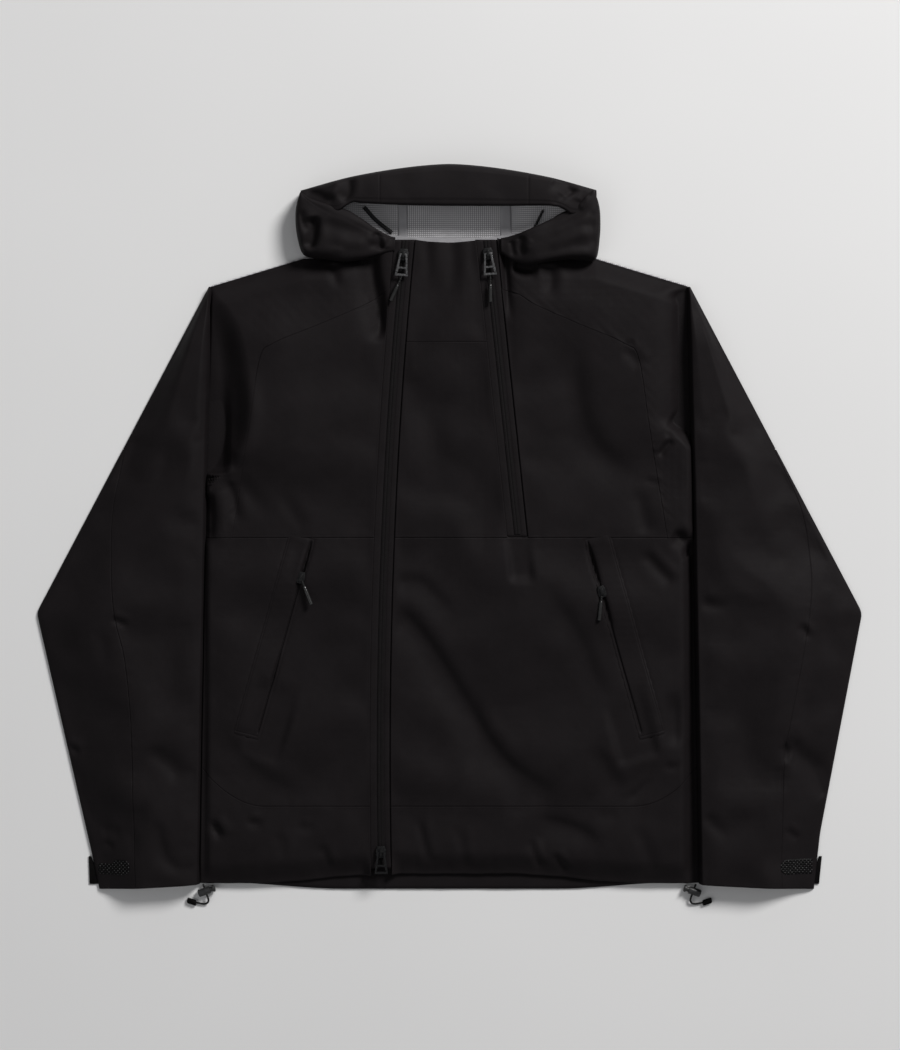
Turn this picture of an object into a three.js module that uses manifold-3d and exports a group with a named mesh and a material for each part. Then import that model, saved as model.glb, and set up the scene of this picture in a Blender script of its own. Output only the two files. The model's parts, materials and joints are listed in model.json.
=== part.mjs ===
// Hooded hardshell jacket, lying on its back with the front up, the hood thrown open above the
// collar and the sleeves folded down beside the body. Millimetres. +X is the viewer's right,
// +Y points from the hem to the hood, +Z points up from the surface the jacket lies on.
// "Left" and "right" are the viewer's. The fabric is drawn as plates a little thicker than cloth.

import * as THREE from 'three';
import { mergeVertices } from 'three/addons/utils/BufferGeometryUtils.js';
import Module from 'manifold-3d';

const wasm = await Module();
wasm.setup();

// ---------------------------------------------------------------- driving dimensions

const CLOTH = 1.5;            // thickness of a fabric plate
const GAP = 0.35;             // clearance between touching pieces
const FRONT_TOP = 16;         // height of the front panels over the hollow body
const EDGE_TOP = 4;           // height of a folded edge next to the floor
const ARMHOLE_TOP = 13;       // height of the body's edge where the arm passes into the sleeve

const CHEST_SEAM_Y = -12;
const CHIN_SEAM_Y = 205;
const CHIN_TOP_Y = 318;
const HEM_SEAM_Y = -311;
const HEM_END_Y = -387;       // front hem at the middle
const TAIL_END_Y = -404.5;    // drop tail at the middle
const HINGE_Y = 323;          // line where the hood folds up from the collar

const SHOULDER_X = 266;
const SHOULDER_Y = 268;
const NECK_X = 163;
const NECK_Y = 299;
const ELBOW_X = 461;
const ELBOW_Y = -96;

const ZIP_VERTEX_X = -77;     // the main zip follows a wide arc through this point
const ZIP_VERTEX_Y = -250;
const ZIP_RADIUS = 5900;
const ZIP_TOP_Y = 310;
const ZIP_BOTTOM_Y = -380;
const CHEST_ZIP_TOP = [42, 310];
const CHEST_ZIP_END = [75.6, -9];
const ZIP_HALF = 13;          // half the width of a front zip's tape
const COIL_HALF = 3.2;
const SMALL_COIL_HALF = 2.2;  // on the pocket zips
const TAPE_Z = 14.1;
const TAPE_THICK = 0.9;
const COIL_Z = TAPE_Z + TAPE_THICK + 0.3;
const COIL_THICK = 1.7;

const POCKET_TOP = [154.8, -20];      // upper end of the right pocket's zip line
const POCKET_END = [212.8, -229];
const POCKET_ZIP_HALF = 4.5;
const WELT_WIDTH = 18;

const SLIDER_LENGTH = 13;
const TAB_LENGTH = 24;
const CORD_DIAMETER = 2.2;
const LOCK_CENTRE = [272, -406.5, 4.6];

const CUFF_INNER = [280, -398];
const PATCH_LOW_Y = -387;             // lower edge of the hook patch on each cuff
const PATCH_HEIGHT = 17;
const TAB_LOW_Y = -399;               // ends of the cuff adjuster tab
const TAB_HIGH_Y = -368;

// Each side's sleeve end, and the outer edge of its cuff tab at the tab's two ends.
const SIDES = {
  left: { sign: -1, cuffOuter: [400, -362], cuffCorner: [391, -404.5], tabEdge: [402, 403] },
  right: { sign: 1, cuffOuter: [414, -342], cuffCorner: [407, -404.5], tabEdge: [412.8, 416] },
};

// ---------------------------------------------------------------- materials

function finish(color, roughness, metalness = 0) {
  return new THREE.MeshStandardMaterial({ color, roughness, metalness });
}

const SHELL = finish(0x1e1c1d, 0.8);
const HOOD_SHELL = finish(0x232122, 0.8);
const LINING = finish(0x6b6a6c, 0.85);
const COIL = finish(0x101010, 0.45);
const METAL = finish(0x2b2b2d, 0.35, 0.8);
const RUBBER = finish(0x1a1a1b, 0.5);
const CORD = finish(0x161616, 0.85);
const HOOK = finish(0x141414, 0.7);
const PLASTIC = finish(0x3a3a3c, 0.4);
const SPRING = finish(0x9a9a9c, 0.3, 0.9);

const jacket = new THREE.Group();

function add(name, geometry, material) {
  const mesh = new THREE.Mesh(geometry, material);
  mesh.name = name;
  jacket.add(mesh);
  return mesh;
}

// ---------------------------------------------------------------- solids

function clamp(value, low, high) {
  return Math.min(Math.max(value, low), high);
}

function smooth(low, high, value) {
  const t = clamp((value - low) / (high - low), 0, 1);
  return t * t * (3 - 2 * t);
}

function mix(a, b, t) {
  return a + (b - a) * t;
}

// Value at v of a line through [v, value] pairs in rising order of v.
function along(pairs, v) {
  let k = 0;
  while (k < pairs.length - 2 && v > pairs[k + 1][0]) k += 1;
  const [v0, a] = pairs[k];
  const [v1, b] = pairs[k + 1];
  return mix(a, b, clamp((v - v0) / (v1 - v0), 0, 1));
}

function signedVolume(positions, faces) {
  let sum = 0;
  const [a, b, c] = [new THREE.Vector3(), new THREE.Vector3(), new THREE.Vector3()];
  for (let f = 0; f < faces.length; f += 3) {
    a.fromArray(positions, faces[f] * 3);
    b.fromArray(positions, faces[f + 1] * 3);
    c.fromArray(positions, faces[f + 2] * 3);
    sum += a.dot(b.cross(c));
  }
  return sum;
}

// A closed plate between two matching grids of points, turned so that its faces point out.
function plateBetween(upper, lower) {
  const rows = upper.length;
  const columns = upper[0].length;
  const positions = [...upper.flat(), ...lower.flat()].flat();
  const top = (i, j) => i * columns + j;
  const under = (i, j) => rows * columns + top(i, j);
  const faces = [];
  const quad = (a, b, c, d) => faces.push(a, b, c, a, c, d);
  for (let i = 0; i < rows - 1; i += 1) {
    for (let j = 0; j < columns - 1; j += 1) {
      quad(top(i, j), top(i, j + 1), top(i + 1, j + 1), top(i + 1, j));
      quad(under(i, j), under(i + 1, j), under(i + 1, j + 1), under(i, j + 1));
    }
    quad(top(i, 0), top(i + 1, 0), under(i + 1, 0), under(i, 0));
    quad(top(i + 1, columns - 1), top(i, columns - 1), under(i, columns - 1), under(i + 1, columns - 1));
  }
  for (let j = 0; j < columns - 1; j += 1) {
    quad(top(0, j + 1), top(0, j), under(0, j), under(0, j + 1));
    quad(top(rows - 1, j), top(rows - 1, j + 1), under(rows - 1, j + 1), under(rows - 1, j));
  }
  if (signedVolume(positions, faces) < 0) faces.reverse();
  const geometry = new THREE.BufferGeometry();
  geometry.setAttribute('position', new THREE.Float32BufferAttribute(positions, 3));
  geometry.setIndex(faces);
  return geometry;
}

// A plate over a grid of [x, y] points: height(x, y) is its top, and thickness hangs below.
function plate(grid, height, thickness = CLOTH) {
  const upper = grid.map((row) => row.map(([x, y]) => [x, y, height(x, y)]));
  const lower = upper.map((row) => row.map(([x, y, z]) => [x, y, z - thickness]));
  return plateBetween(upper, lower);
}

// Grid between a left and right edge, x as a function of y, and a bottom and top edge, y as a
// function of x. Edges are pulled in by half a gap, so neighbours stay apart.
function patch({ left, right, bottom, top }, columns, rows, inset = GAP / 2) {
  const grid = [];
  for (let i = 0; i <= rows; i += 1) {
    const row = [];
    for (let j = 0; j <= columns; j += 1) {
      const [s, t] = [j / columns, i / rows];
      let x = 0;
      let y = mix(bottom(0), top(0), t);
      for (let pass = 0; pass < 4; pass += 1) {
        x = mix(left(y) + inset, right(y) - inset, s);
        y = mix(bottom(x) + inset, top(x) - inset, t);
      }
      row.push([x, y]);
    }
    grid.push(row);
  }
  return grid;
}

// Grid of straight rungs between two outlines with the same number of points.
function ladder(inner, outer, columns, inset = GAP / 2) {
  return inner.map(([x0, y0], i) => {
    const [x1, y1] = outer[i];
    const trim = inset / Math.hypot(x1 - x0, y1 - y0);
    const row = [];
    for (let j = 0; j <= columns; j += 1) {
      const s = mix(trim, 1 - trim, j / columns);
      row.push([mix(x0, x1, s), mix(y0, y1, s)]);
    }
    return row;
  });
}

function mirrored(geometry, sign) {
  if (sign > 0) return geometry;
  const copy = geometry.clone();
  copy.scale(-1, 1, 1);
  const faces = Array.from(copy.index.array);
  copy.setIndex(faces.reverse());
  return copy;
}

function toManifold(geometry) {
  const bare = geometry.clone();
  bare.deleteAttribute('normal');
  bare.deleteAttribute('uv');
  const merged = mergeVertices(bare, 1e-4);
  return new wasm.Manifold(new wasm.Mesh({
    numProp: 3,
    vertProperties: new Float32Array(merged.attributes.position.array),
    triVerts: new Uint32Array(merged.index.array),
  }));
}

function fromManifold(solid) {
  const mesh = solid.getMesh();
  const geometry = new THREE.BufferGeometry();
  geometry.setAttribute('position', new THREE.BufferAttribute(mesh.vertProperties, 3));
  geometry.setIndex(new THREE.BufferAttribute(mesh.triVerts, 1));
  return geometry;
}

function cut(geometry, ...tools) {
  const solid = tools.reduce((rest, tool) => rest.subtract(toManifold(tool)), toManifold(geometry));
  return fromManifold(solid);
}

function join(...geometries) {
  return fromManifold(geometries.map(toManifold).reduce((a, b) => a.add(b)));
}

function box(x0, x1, y0, y1, z0, z1) {
  const geometry = new THREE.BoxGeometry(x1 - x0, y1 - y0, z1 - z0);
  geometry.translate((x0 + x1) / 2, (y0 + y1) / 2, (z0 + z1) / 2);
  return geometry;
}

// Straight prism over an outline of [x, y] points.
function prism(outline, z0, z1) {
  const shape = new THREE.Shape(outline.map(([x, y]) => new THREE.Vector2(x, y)));
  const geometry = new THREE.ExtrudeGeometry(shape, { depth: z1 - z0, bevelEnabled: false });
  geometry.translate(0, 0, z0);
  return geometry;
}

// Round bar turned about its own length, which runs along +Y from the origin.
function turned(profile, segments) {
  return new THREE.LatheGeometry(profile.map(([r, h]) => new THREE.Vector2(r, h)), segments);
}

function tube(points, diameter, steps) {
  const CORD_SIDES = 8;
  const shape = new THREE.Shape();
  shape.absarc(0, 0, diameter / 2, 0, Math.PI * 2, false);
  const route = new THREE.CatmullRomCurve3(points.map((p) => new THREE.Vector3(...p)), false, 'centripetal');
  return new THREE.ExtrudeGeometry(shape, {
    steps, extrudePath: route, bevelEnabled: false, curveSegments: CORD_SIDES,
  });
}

// ---------------------------------------------------------------- outlines

function mainZipX(y) {
  const rise = y - ZIP_VERTEX_Y;
  return ZIP_VERTEX_X + ZIP_RADIUS - Math.sqrt(ZIP_RADIUS * ZIP_RADIUS - rise * rise);
}

function chestZipX(y) {
  const t = (CHEST_ZIP_TOP[1] - y) / (CHEST_ZIP_TOP[1] - CHEST_ZIP_END[1]);
  return mix(CHEST_ZIP_TOP[0], CHEST_ZIP_END[0], t);
}

// Side of the body: the sleeve lies just outside it.
function sideX(y) {
  return along([[-405, 280], [-194, 276.5], [51, 272], [SHOULDER_Y, SHOULDER_X]], y);
}

function shoulderY(x) {
  return along([[0, NECK_Y], [NECK_X, NECK_Y], [SHOULDER_X, SHOULDER_Y]], Math.abs(x));
}

function hemSeamY(x) {
  const bend = Math.max(0, Math.abs(x) - 205) / 70;
  return HEM_SEAM_Y + 42 * bend * bend;
}

function hemEndY(x) {
  return HEM_END_Y - 10.5 * smooth(60, 230, Math.abs(x));
}

function tailEndY(x) {
  return TAIL_END_Y + 7 * smooth(120, 250, Math.abs(x));
}

// Armhole seam, from the collar over the front of the shoulder and down to the chest seam.
const YOKE_SEAM = [[77, 258], [98, 245], [146, 224], [194, 203.5], [210, 187], [221, 118], [230, 63],
  [242, CHEST_SEAM_Y]];
const YOKE_OUTER = [[77, 296], [NECK_X - 30, 297], [212, 284], [SHOULDER_X - 4, SHOULDER_Y],
  [267.5, 187], [270.5, 118], [271.5, 63], [272.5, CHEST_SEAM_Y]];

// ---------------------------------------------------------------- body

// Top of the front: level over the chest, folded down to the floor at the sides and shoulders.
function frontTop(x, y) {
  const edge = mix(EDGE_TOP, ARMHOLE_TOP, smooth(-20, 60, y));
  const side = smooth(236, 270, Math.abs(x));
  const shoulder = smooth(-26, 0, y - shoulderY(x)) * smooth(70, 170, Math.abs(x));
  return mix(mix(FRONT_TOP, edge, side), EDGE_TOP + 2, shoulder);
}

function flat(z) {
  return () => z;
}

function buildBack() {
  const torso = patch({
    left: (y) => -sideX(y), right: sideX, bottom: flat(HEM_SEAM_Y - 30), top: (x) => shoulderY(x) + 1.5,
  }, 12, 10);
  const neck = box(-NECK_X, NECK_X, NECK_Y - 10, HINGE_Y - GAP, 0, CLOTH);
  add('back_panel', join(plate(torso, flat(CLOTH)), neck), SHELL);
  const tail = patch({
    left: (y) => -sideX(y), right: sideX, bottom: tailEndY, top: flat(HEM_SEAM_Y - 30),
  }, 16, 2);
  add('back_hem_band', plate(tail, flat(CLOTH)), SHELL);
}

function buildFront() {
  const zipRight = (y) => mainZipX(y) + ZIP_HALF;
  const zipLeft = (y) => mainZipX(y) - ZIP_HALF;
  const bib = patch({
    left: zipRight, right: (y) => chestZipX(y) - ZIP_HALF, bottom: flat(CHEST_SEAM_Y), top: flat(CHIN_SEAM_Y),
  }, 2, 4);
  add('bib_panel', plate(bib, frontTop), SHELL);
  const chin = patch({
    left: zipRight, right: (y) => chestZipX(y) - ZIP_HALF, bottom: flat(CHIN_SEAM_Y), top: flat(CHIN_TOP_Y),
  }, 2, 3);
  add('chin_panel', plate(chin, frontTop), SHELL);

  const YOKE_FOOT_Y = 264;
  const zipEdges = { left: (y) => -zipLeft(y), right: (y) => chestZipX(y) + ZIP_HALF };
  for (const [side, { sign }] of Object.entries(SIDES)) {
    const zipEdge = zipEdges[side];
    const chest = ladder(YOKE_SEAM.map(([, y]) => [zipEdge(y), y]), YOKE_SEAM, 4);
    add(`chest_panel_${side}`, mirrored(plate(chest, frontTop), sign), SHELL);
    const seam = [[zipEdge(YOKE_FOOT_Y) + 1, YOKE_FOOT_Y], ...YOKE_SEAM];
    const shoulder = [[zipEdge(NECK_Y) + 1, NECK_Y - 3], ...YOKE_OUTER];
    add(`yoke_panel_${side}`, mirrored(plate(ladder(seam, shoulder, 3), frontTop), sign), SHELL);
    const inner = sign > 0 ? zipRight : zipEdge;
    const lower = patch({
      left: inner, right: (y) => sideX(y) - 1.5, bottom: hemSeamY, top: flat(CHEST_SEAM_Y),
    }, 10, 5);
    const pocket = cut(plate(lower, frontTop), prism(pocketOutline(GAP), 0, FRONT_TOP + 4));
    add(`lower_panel_${side}`, mirrored(pocket, sign), SHELL);
    const hem = patch({
      left: inner, right: (y) => sideX(y) - 1.5, bottom: hemEndY, top: hemSeamY,
    }, 10, 2);
    add(`front_hem_${side}`, mirrored(plate(hem, frontTop), sign), SHELL);
    const collar = patch({
      left: flat(NECK_X - 91), right: flat(NECK_X + 3), bottom: flat(NECK_Y + 0.4), top: flat(HINGE_Y - GAP),
    }, 4, 2);
    const roll = (x, y) => 8 + 11 * smooth(NECK_X + 3, NECK_X - 30, x) * smooth(NECK_Y - 4, NECK_Y + 12, y);
    add(`side_collar_${side}`, mirrored(plate(collar, roll, 3), sign), HOOD_SHELL);
  }
}

// ---------------------------------------------------------------- pockets

const POCKET_RUN = new THREE.Vector2(POCKET_END[0] - POCKET_TOP[0], POCKET_END[1] - POCKET_TOP[1]);
const POCKET_LENGTH = POCKET_RUN.length();
const POCKET_DOWN = POCKET_RUN.clone().normalize();
const POCKET_OUT = new THREE.Vector2(-POCKET_DOWN.y, POCKET_DOWN.x);

// Point at a distance down the zip line and a distance outwards from it.
function pocketPoint(down, out) {
  return [
    POCKET_TOP[0] + POCKET_DOWN.x * down + POCKET_OUT.x * out,
    POCKET_TOP[1] + POCKET_DOWN.y * down + POCKET_OUT.y * out,
  ];
}

function pocketStrip(start, end, inner, outer) {
  const innerEdge = [pocketPoint(start, inner), pocketPoint(end, inner)];
  const outerEdge = [pocketPoint(end, outer), pocketPoint(start, outer)];
  return [...innerEdge, ...outerEdge];
}

function pocketOutline(margin) {
  const inner = -POCKET_ZIP_HALF - margin;
  const outer = POCKET_ZIP_HALF + WELT_WIDTH + margin;
  return pocketStrip(-margin, POCKET_LENGTH + margin, inner, outer);
}

function buildPockets() {
  for (const [side, { sign }] of Object.entries(SIDES)) {
    const tapePlan = pocketStrip(0, POCKET_LENGTH, -POCKET_ZIP_HALF, POCKET_ZIP_HALF);
    const coilPlan = pocketStrip(2, POCKET_LENGTH - 2, -SMALL_COIL_HALF, SMALL_COIL_HALF);
    const tapeStrip = prism(tapePlan, TAPE_Z, TAPE_Z + TAPE_THICK);
    const coilStrip = prism(coilPlan, TAPE_Z, COIL_Z + COIL_THICK);
    add(`pocket_zip_${side}`, mirrored(join(tapeStrip, coilStrip), sign), COIL);
    const weltPlan = pocketStrip(0, POCKET_LENGTH, POCKET_ZIP_HALF + GAP, POCKET_ZIP_HALF + WELT_WIDTH);
    const welt = prism(weltPlan, FRONT_TOP - CLOTH, FRONT_TOP);
    add(`pocket_welt_${side}`, mirrored(indexed(welt), sign), SHELL);
    const bagPlan = [[100, CHEST_SEAM_Y - 20], [150, CHEST_SEAM_Y - 6], [228, -60], [232, -228], [205, -262],
      [120, -262], [100, -240]];
    const bag = prism(bagPlan, TAPE_Z - 2.7, TAPE_Z - 1.3);
    add(`pocket_bag_${side}`, mirrored(indexed(bag), sign), LINING);
  }
}

function indexed(geometry) {
  return fromManifold(toManifold(geometry));
}

// ---------------------------------------------------------------- sleeves

function buildSleeves() {
  for (const [side, shape] of Object.entries(SIDES)) {
    const { sign, cuffOuter, cuffCorner, tabEdge } = shape;
    const [outerX, outerY] = cuffOuter;
    const [cornerX, cornerY] = cuffCorner;
    const innerX = (y) => along([[-405, 281.5], [-194, 278], [51, 273.5], [SHOULDER_Y, SHOULDER_X + 1.5]], y);
    const outer = (y) => along([[cornerY, cornerX], [outerY, outerX], [ELBOW_Y, ELBOW_X],
      [SHOULDER_Y, SHOULDER_X + 3]], y);
    const [innerEndX, innerEndY] = CUFF_INNER;
    const cuffY = (x) => mix(innerEndY, cornerY, clamp((x - innerEndX) / (cornerX - innerEndX), 0, 1));
    // Arched front: tall beside the body, folded flat at the outer edge.
    const sleeveTop = (x, y) => {
      const u = (x - innerX(y)) / (outer(y) - innerX(y));
      const innerEdge = mix(EDGE_TOP, ARMHOLE_TOP + 3, smooth(-20, 60, y));
      const rise = mix(innerEdge, 20, smooth(0, 0.1, u));
      const upper = smooth(SHOULDER_Y - 6, SHOULDER_Y - 70, y);
      return mix(EDGE_TOP, rise, upper * (1 - smooth(0.5, 1, u)) + (1 - upper) * (1 - u) * 0.5);
    };
    // Rungs of the sleeve from the cuff up: seam, outer edge and inner edge share them.
    const ELBOW_END_Y = 86;
    const seamEnd = outer(ELBOW_END_Y) - 3;
    const seam = [[outerX - 42, cuffY(outerX - 42)], [outerX - 45, -332], [outerX - 42, -239],
      [outerX - 30, -175], [outerX - 18, -109], [outerX - 9, -45], [mix(outerX - 9, seamEnd, 0.5), 20],
      [seamEnd, ELBOW_END_Y]];
    const edge = [cornerY, outerY, -239, -160, ELBOW_Y, -50, 20, ELBOW_END_Y].map((y) => [outer(y), y]);
    const above = [ELBOW_END_Y + 8, 150, 210, SHOULDER_Y - 8];
    const insideRow = ([, y]) => [innerX(y), y];
    const inside = [CUFF_INNER, ...seam.slice(1).map(insideRow), ...above.map((y) => [innerX(y), y])];
    const upperEdge = above.map((y) => [outer(y), y]);
    const front = ladder(inside, [...seam, ...upperEdge], 8);
    add(`sleeve_front_${side}`, mirrored(plate(front, sleeveTop), sign), SHELL);
    add(`elbow_panel_${side}`, mirrored(plate(ladder(seam, edge, 3), sleeveTop), sign), SHELL);
    const backEdge = [...edge, ...upperEdge];
    const back = ladder([CUFF_INNER, ...backEdge.slice(1).map(insideRow)], backEdge, 4);
    add(`sleeve_back_${side}`, mirrored(plate(back, flat(CLOTH)), sign), SHELL);

    const patchTop = PATCH_LOW_Y + PATCH_HEIGHT;
    const edgeAt = outer((PATCH_LOW_Y + patchTop) / 2);
    const hook = patch({
      left: flat(edgeAt - 42), right: flat(edgeAt - 5), bottom: flat(PATCH_LOW_Y), top: flat(patchTop),
    }, 4, 2, 0);
    add(`hook_patch_${side}`, mirrored(plate(hook, (x, y) => sleeveTop(x, y) + 2.2, 1.1), sign), HOOK);

    // The tab lies against the slanted edge, one tab thickness and a gap away, so that it can lift.
    const TAB_THICK = 1.2;
    const hinge = (y) => outer(y) + TAB_THICK + GAP;
    const [lowEdge, highEdge] = tabEdge;
    const tabPlan = [[hinge(TAB_LOW_Y), TAB_LOW_Y], [lowEdge, TAB_LOW_Y], [highEdge, TAB_HIGH_Y],
      [hinge(TAB_HIGH_Y), TAB_HIGH_Y]];
    add(`cuff_tab_${side}`, mirrored(indexed(prism(tabPlan, 0, TAB_THICK)), sign), RUBBER);
  }
}

// ---------------------------------------------------------------- zips

// Strip that follows a line x(y) between two heights.
function zipStrip(centre, half, y0, y1, z0, z1, rows) {
  const grid = patch({
    left: (y) => centre(y) - half, right: (y) => centre(y) + half, bottom: flat(y0), top: flat(y1),
  }, 1, rows, 0);
  return plate(grid, flat(z1), z1 - z0);
}

// Tape with its coil: the two are woven into one chain.
function zipChain(centre, y0, y1, rows) {
  const tape = zipStrip(centre, ZIP_HALF - GAP, y0, y1, TAPE_Z, TAPE_Z + TAPE_THICK, rows);
  const coilFloor = TAPE_Z + TAPE_THICK / 2;
  const coil = zipStrip(centre, COIL_HALF, y0 + 3, y1 - 1, coilFloor, COIL_Z + COIL_THICK, rows);
  return join(tape, coil);
}

function buildZips() {
  add('main_zip', zipChain(mainZipX, ZIP_BOTTOM_Y, ZIP_TOP_Y, 16), COIL);
  add('chest_zip', zipChain(chestZipX, CHEST_ZIP_END[1], ZIP_TOP_Y, 1), COIL);
}

// Slider body over the coil, with a bridge that holds the pull. Local origin: middle of the coil's
// underside; the zip runs along local Y.
function sliderBody(coilHalf, withHole) {
  const inner = coilHalf + 0.4;
  const wide = inner + 1.9;
  const floor = COIL_THICK + 0.3;
  const roof = floor + 1.6;
  const half = SLIDER_LENGTH / 2;
  const nose = wide - 1.6;
  const rightEdge = [[nose, -half], [wide, -half + 3], [wide, half - 4], [nose, half]];
  const leftEdge = rightEdge.map(([x, y]) => [-x, y]).reverse();
  const outline = [...rightEdge, ...leftEdge];
  const shell = cut(prism(outline, 0, roof), box(-inner, inner, -half - 1, half + 1, -1, floor));
  const bridge = box(-1.5, 1.5, -3.5, 3.5, roof - 0.2, roof + 3.6);
  const whole = join(shell, bridge);
  if (!withHole) return whole;
  return cut(whole, box(-2, 2, -1.4, 1.4, roof + 0.4, roof + 3));
}

const BRIDGE_CENTRE_Z = COIL_THICK + 0.3 + 1.6 + 1.7;

// Wire-frame tab: a trapezoid ring whose narrow bar passes through the slider's bridge.
function pullTab() {
  const thick = 1.7;
  const barHalf = 0.9;
  // Symmetric four-sided outline from half widths at two heights.
  const trapezoid = (topHalf, top, lowHalf, low) => {
    const corners = [[-topHalf, top], [-lowHalf, low], [lowHalf, low], [topHalf, top]];
    return corners.map(([x, y]) => new THREE.Vector2(x, y));
  };
  const shape = new THREE.Shape(trapezoid(4, barHalf, 5.5, -TAB_LENGTH));
  const CROSS_BAR = [-14, -16];
  shape.holes.push(new THREE.Path(trapezoid(2.3, -barHalf, 3.2, CROSS_BAR[0]).reverse()));
  shape.holes.push(new THREE.Path(trapezoid(3.2, CROSS_BAR[1], 3.8, -TAB_LENGTH + 2.4).reverse()));
  const ring = new THREE.ExtrudeGeometry(shape, { depth: thick, bevelEnabled: false });
  ring.translate(0, 0, BRIDGE_CENTRE_Z - thick / 2);
  return ring;
}

// Cord with a moulded end, lying along local -Y from a start distance.
function cordPull(start, cordLength, endLength) {
  const r = CORD_DIAMETER / 2;
  const R = 1.9;
  const CHAMFER = 1.4;
  const total = cordLength + endLength;
  const profile = [[0, 0], [r, 0], [r, cordLength], [R, cordLength + CHAMFER], [R, total - CHAMFER],
    [R - 0.9, total], [0, total]];
  const bar = turned(profile, 8);
  bar.rotateZ(Math.PI);
  bar.translate(0, -start, 0);
  return bar;
}

function place(geometry, at, angle) {
  const turnedCopy = indexed(geometry);
  turnedCopy.rotateZ(angle);
  turnedCopy.translate(...at);
  return turnedCopy;
}

// Slider with a wire-frame tab at a height y on a zip whose line is x(y); swing turns the cord pull.
function buildTabSlider(name, centre, y, swing) {
  const lean = Math.atan2(centre(y - 5) - centre(y + 5), 10);
  const at = [centre(y), y, COIL_Z];
  add(`${name}_slider`, place(sliderBody(COIL_HALF, true), at, lean), METAL);
  add(`${name}_pull_tab`, place(pullTab(), at, lean), METAL);
  if (swing === null) return;
  const reach = TAB_LENGTH + CORD_DIAMETER / 2 + 0.5;
  const end = [at[0] + Math.sin(lean) * reach, at[1] - Math.cos(lean) * reach, COIL_Z + BRIDGE_CENTRE_Z];
  add(`${name}_cord_pull`, place(cordPull(0, 9, 20), end, swing), RUBBER);
}

function buildSliders() {
  buildTabSlider('main_top', mainZipX, 302, -0.42);
  buildTabSlider('main_bottom', mainZipX, -361, null);
  buildTabSlider('chest', chestZipX, 303, 0);
  const rests = { left: { down: 38, swing: 0.38 }, right: { down: 54, swing: -0.1 } };
  for (const [side, { sign }] of Object.entries(SIDES)) {
    const { down, swing } = rests[side];
    const [x, y] = pocketPoint(down, 0);
    const lean = Math.atan2(POCKET_DOWN.x, -POCKET_DOWN.y) * sign;
    const at = [x * sign, y, COIL_Z];
    add(`pocket_slider_${side}`, place(sliderBody(SMALL_COIL_HALF, false), at, lean), METAL);
    const pull = cordPull(4.6, 6, 22);
    add(`pocket_pull_${side}`, place(pull, [at[0], at[1], COIL_Z + BRIDGE_CENTRE_Z + 0.1], swing), RUBBER);
  }
}

// ---------------------------------------------------------------- hem cord and locks

const LOCK_TURN = 0.34;                 // the cord crosses the lock at this angle to the hem's normal
const TAIL_ROUTE = [[274.8, -398.6, 4.6], [273.4, -402.5, 4.6], [272, -406.5, 4.6], [270.6, -410.4, 4.6],
  [269.3, -414, 4.6], [268.9, -417.4, 3.6], [270.6, -420.2, 2.2], [274.2, -421.2, 1.3], [278.6, -420.6, 1.2],
  [283, -419.6, 1.2]];

function buildHem() {
  const channel = [[-262, -386, 3.4], [-200, -392, 3.2], [-100, -396, 3.2], [0, -397, 3.2], [100, -396, 3.2],
    [200, -392, 3.2], [262, -386, 3.4]];
  add('hem_drawcord', indexed(tube(channel, CORD_DIAMETER, 48)), CORD);
  const barrelOuter = [[0, -8.5], [3.4, -8.5], [4.3, -7.6], [4.3, 5], [3.1, 5], [3.1, -7], [0, -7]];
  const plungerOuter = [[0, -2.5], [2.75, -2.5], [2.75, 8.2], [4, 8.4], [4, 10.4], [3.2, 11], [0, 11]];
  const crossHole = box(-6, 6, -1.6, 1.6, -1.6, 1.6);
  const crossSlot = box(-6, 6, -1.6, 4.6, -1.6, 1.6);
  for (const [side, { sign }] of Object.entries(SIDES)) {
    const mirror = (geometry) => mirrored(geometry, sign);
    add(`hem_cord_tail_${side}`, mirror(indexed(tube(TAIL_ROUTE, CORD_DIAMETER, 20))), CORD);
    const tip = turned([[0, 0], [1.5, 0], [1.8, 1], [1.8, 8], [1.2, 9], [0, 9]], 8);
    tip.rotateZ(-Math.PI / 2 + 0.2);
    tip.translate(283.4, -419.5, 1.8);
    add(`hem_cord_tip_${side}`, mirror(indexed(tip)), RUBBER);
    const locks = {
      [`cord_lock_barrel_${side}`]: [cut(turned(barrelOuter, 14), crossHole), PLASTIC],
      [`cord_lock_plunger_${side}`]: [cut(turned(plungerOuter, 12), crossSlot), PLASTIC],
    };
    const wire = [];
    const TURNS = 3;
    for (let k = 0; k <= TURNS * 8; k += 1) {
      const angle = k * Math.PI / 4;
      wire.push([2.2 * Math.cos(angle), -6.3 + 3.2 * k / (TURNS * 8), 2.2 * Math.sin(angle)]);
    }
    locks[`cord_lock_spring_${side}`] = [indexed(tube(wire, 0.6, TURNS * 8)), SPRING];
    for (const [name, [solid, material]] of Object.entries(locks)) {
      const piece = solid.clone();
      piece.rotateZ(Math.PI / 2 - LOCK_TURN);
      piece.translate(...LOCK_CENTRE);
      add(name, mirror(piece), material);
    }
  }
}

// ---------------------------------------------------------------- hood

function crownOuterY(x) {
  return 405 - 28 * (Math.abs(x) / 167) ** 1.6;
}

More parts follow.
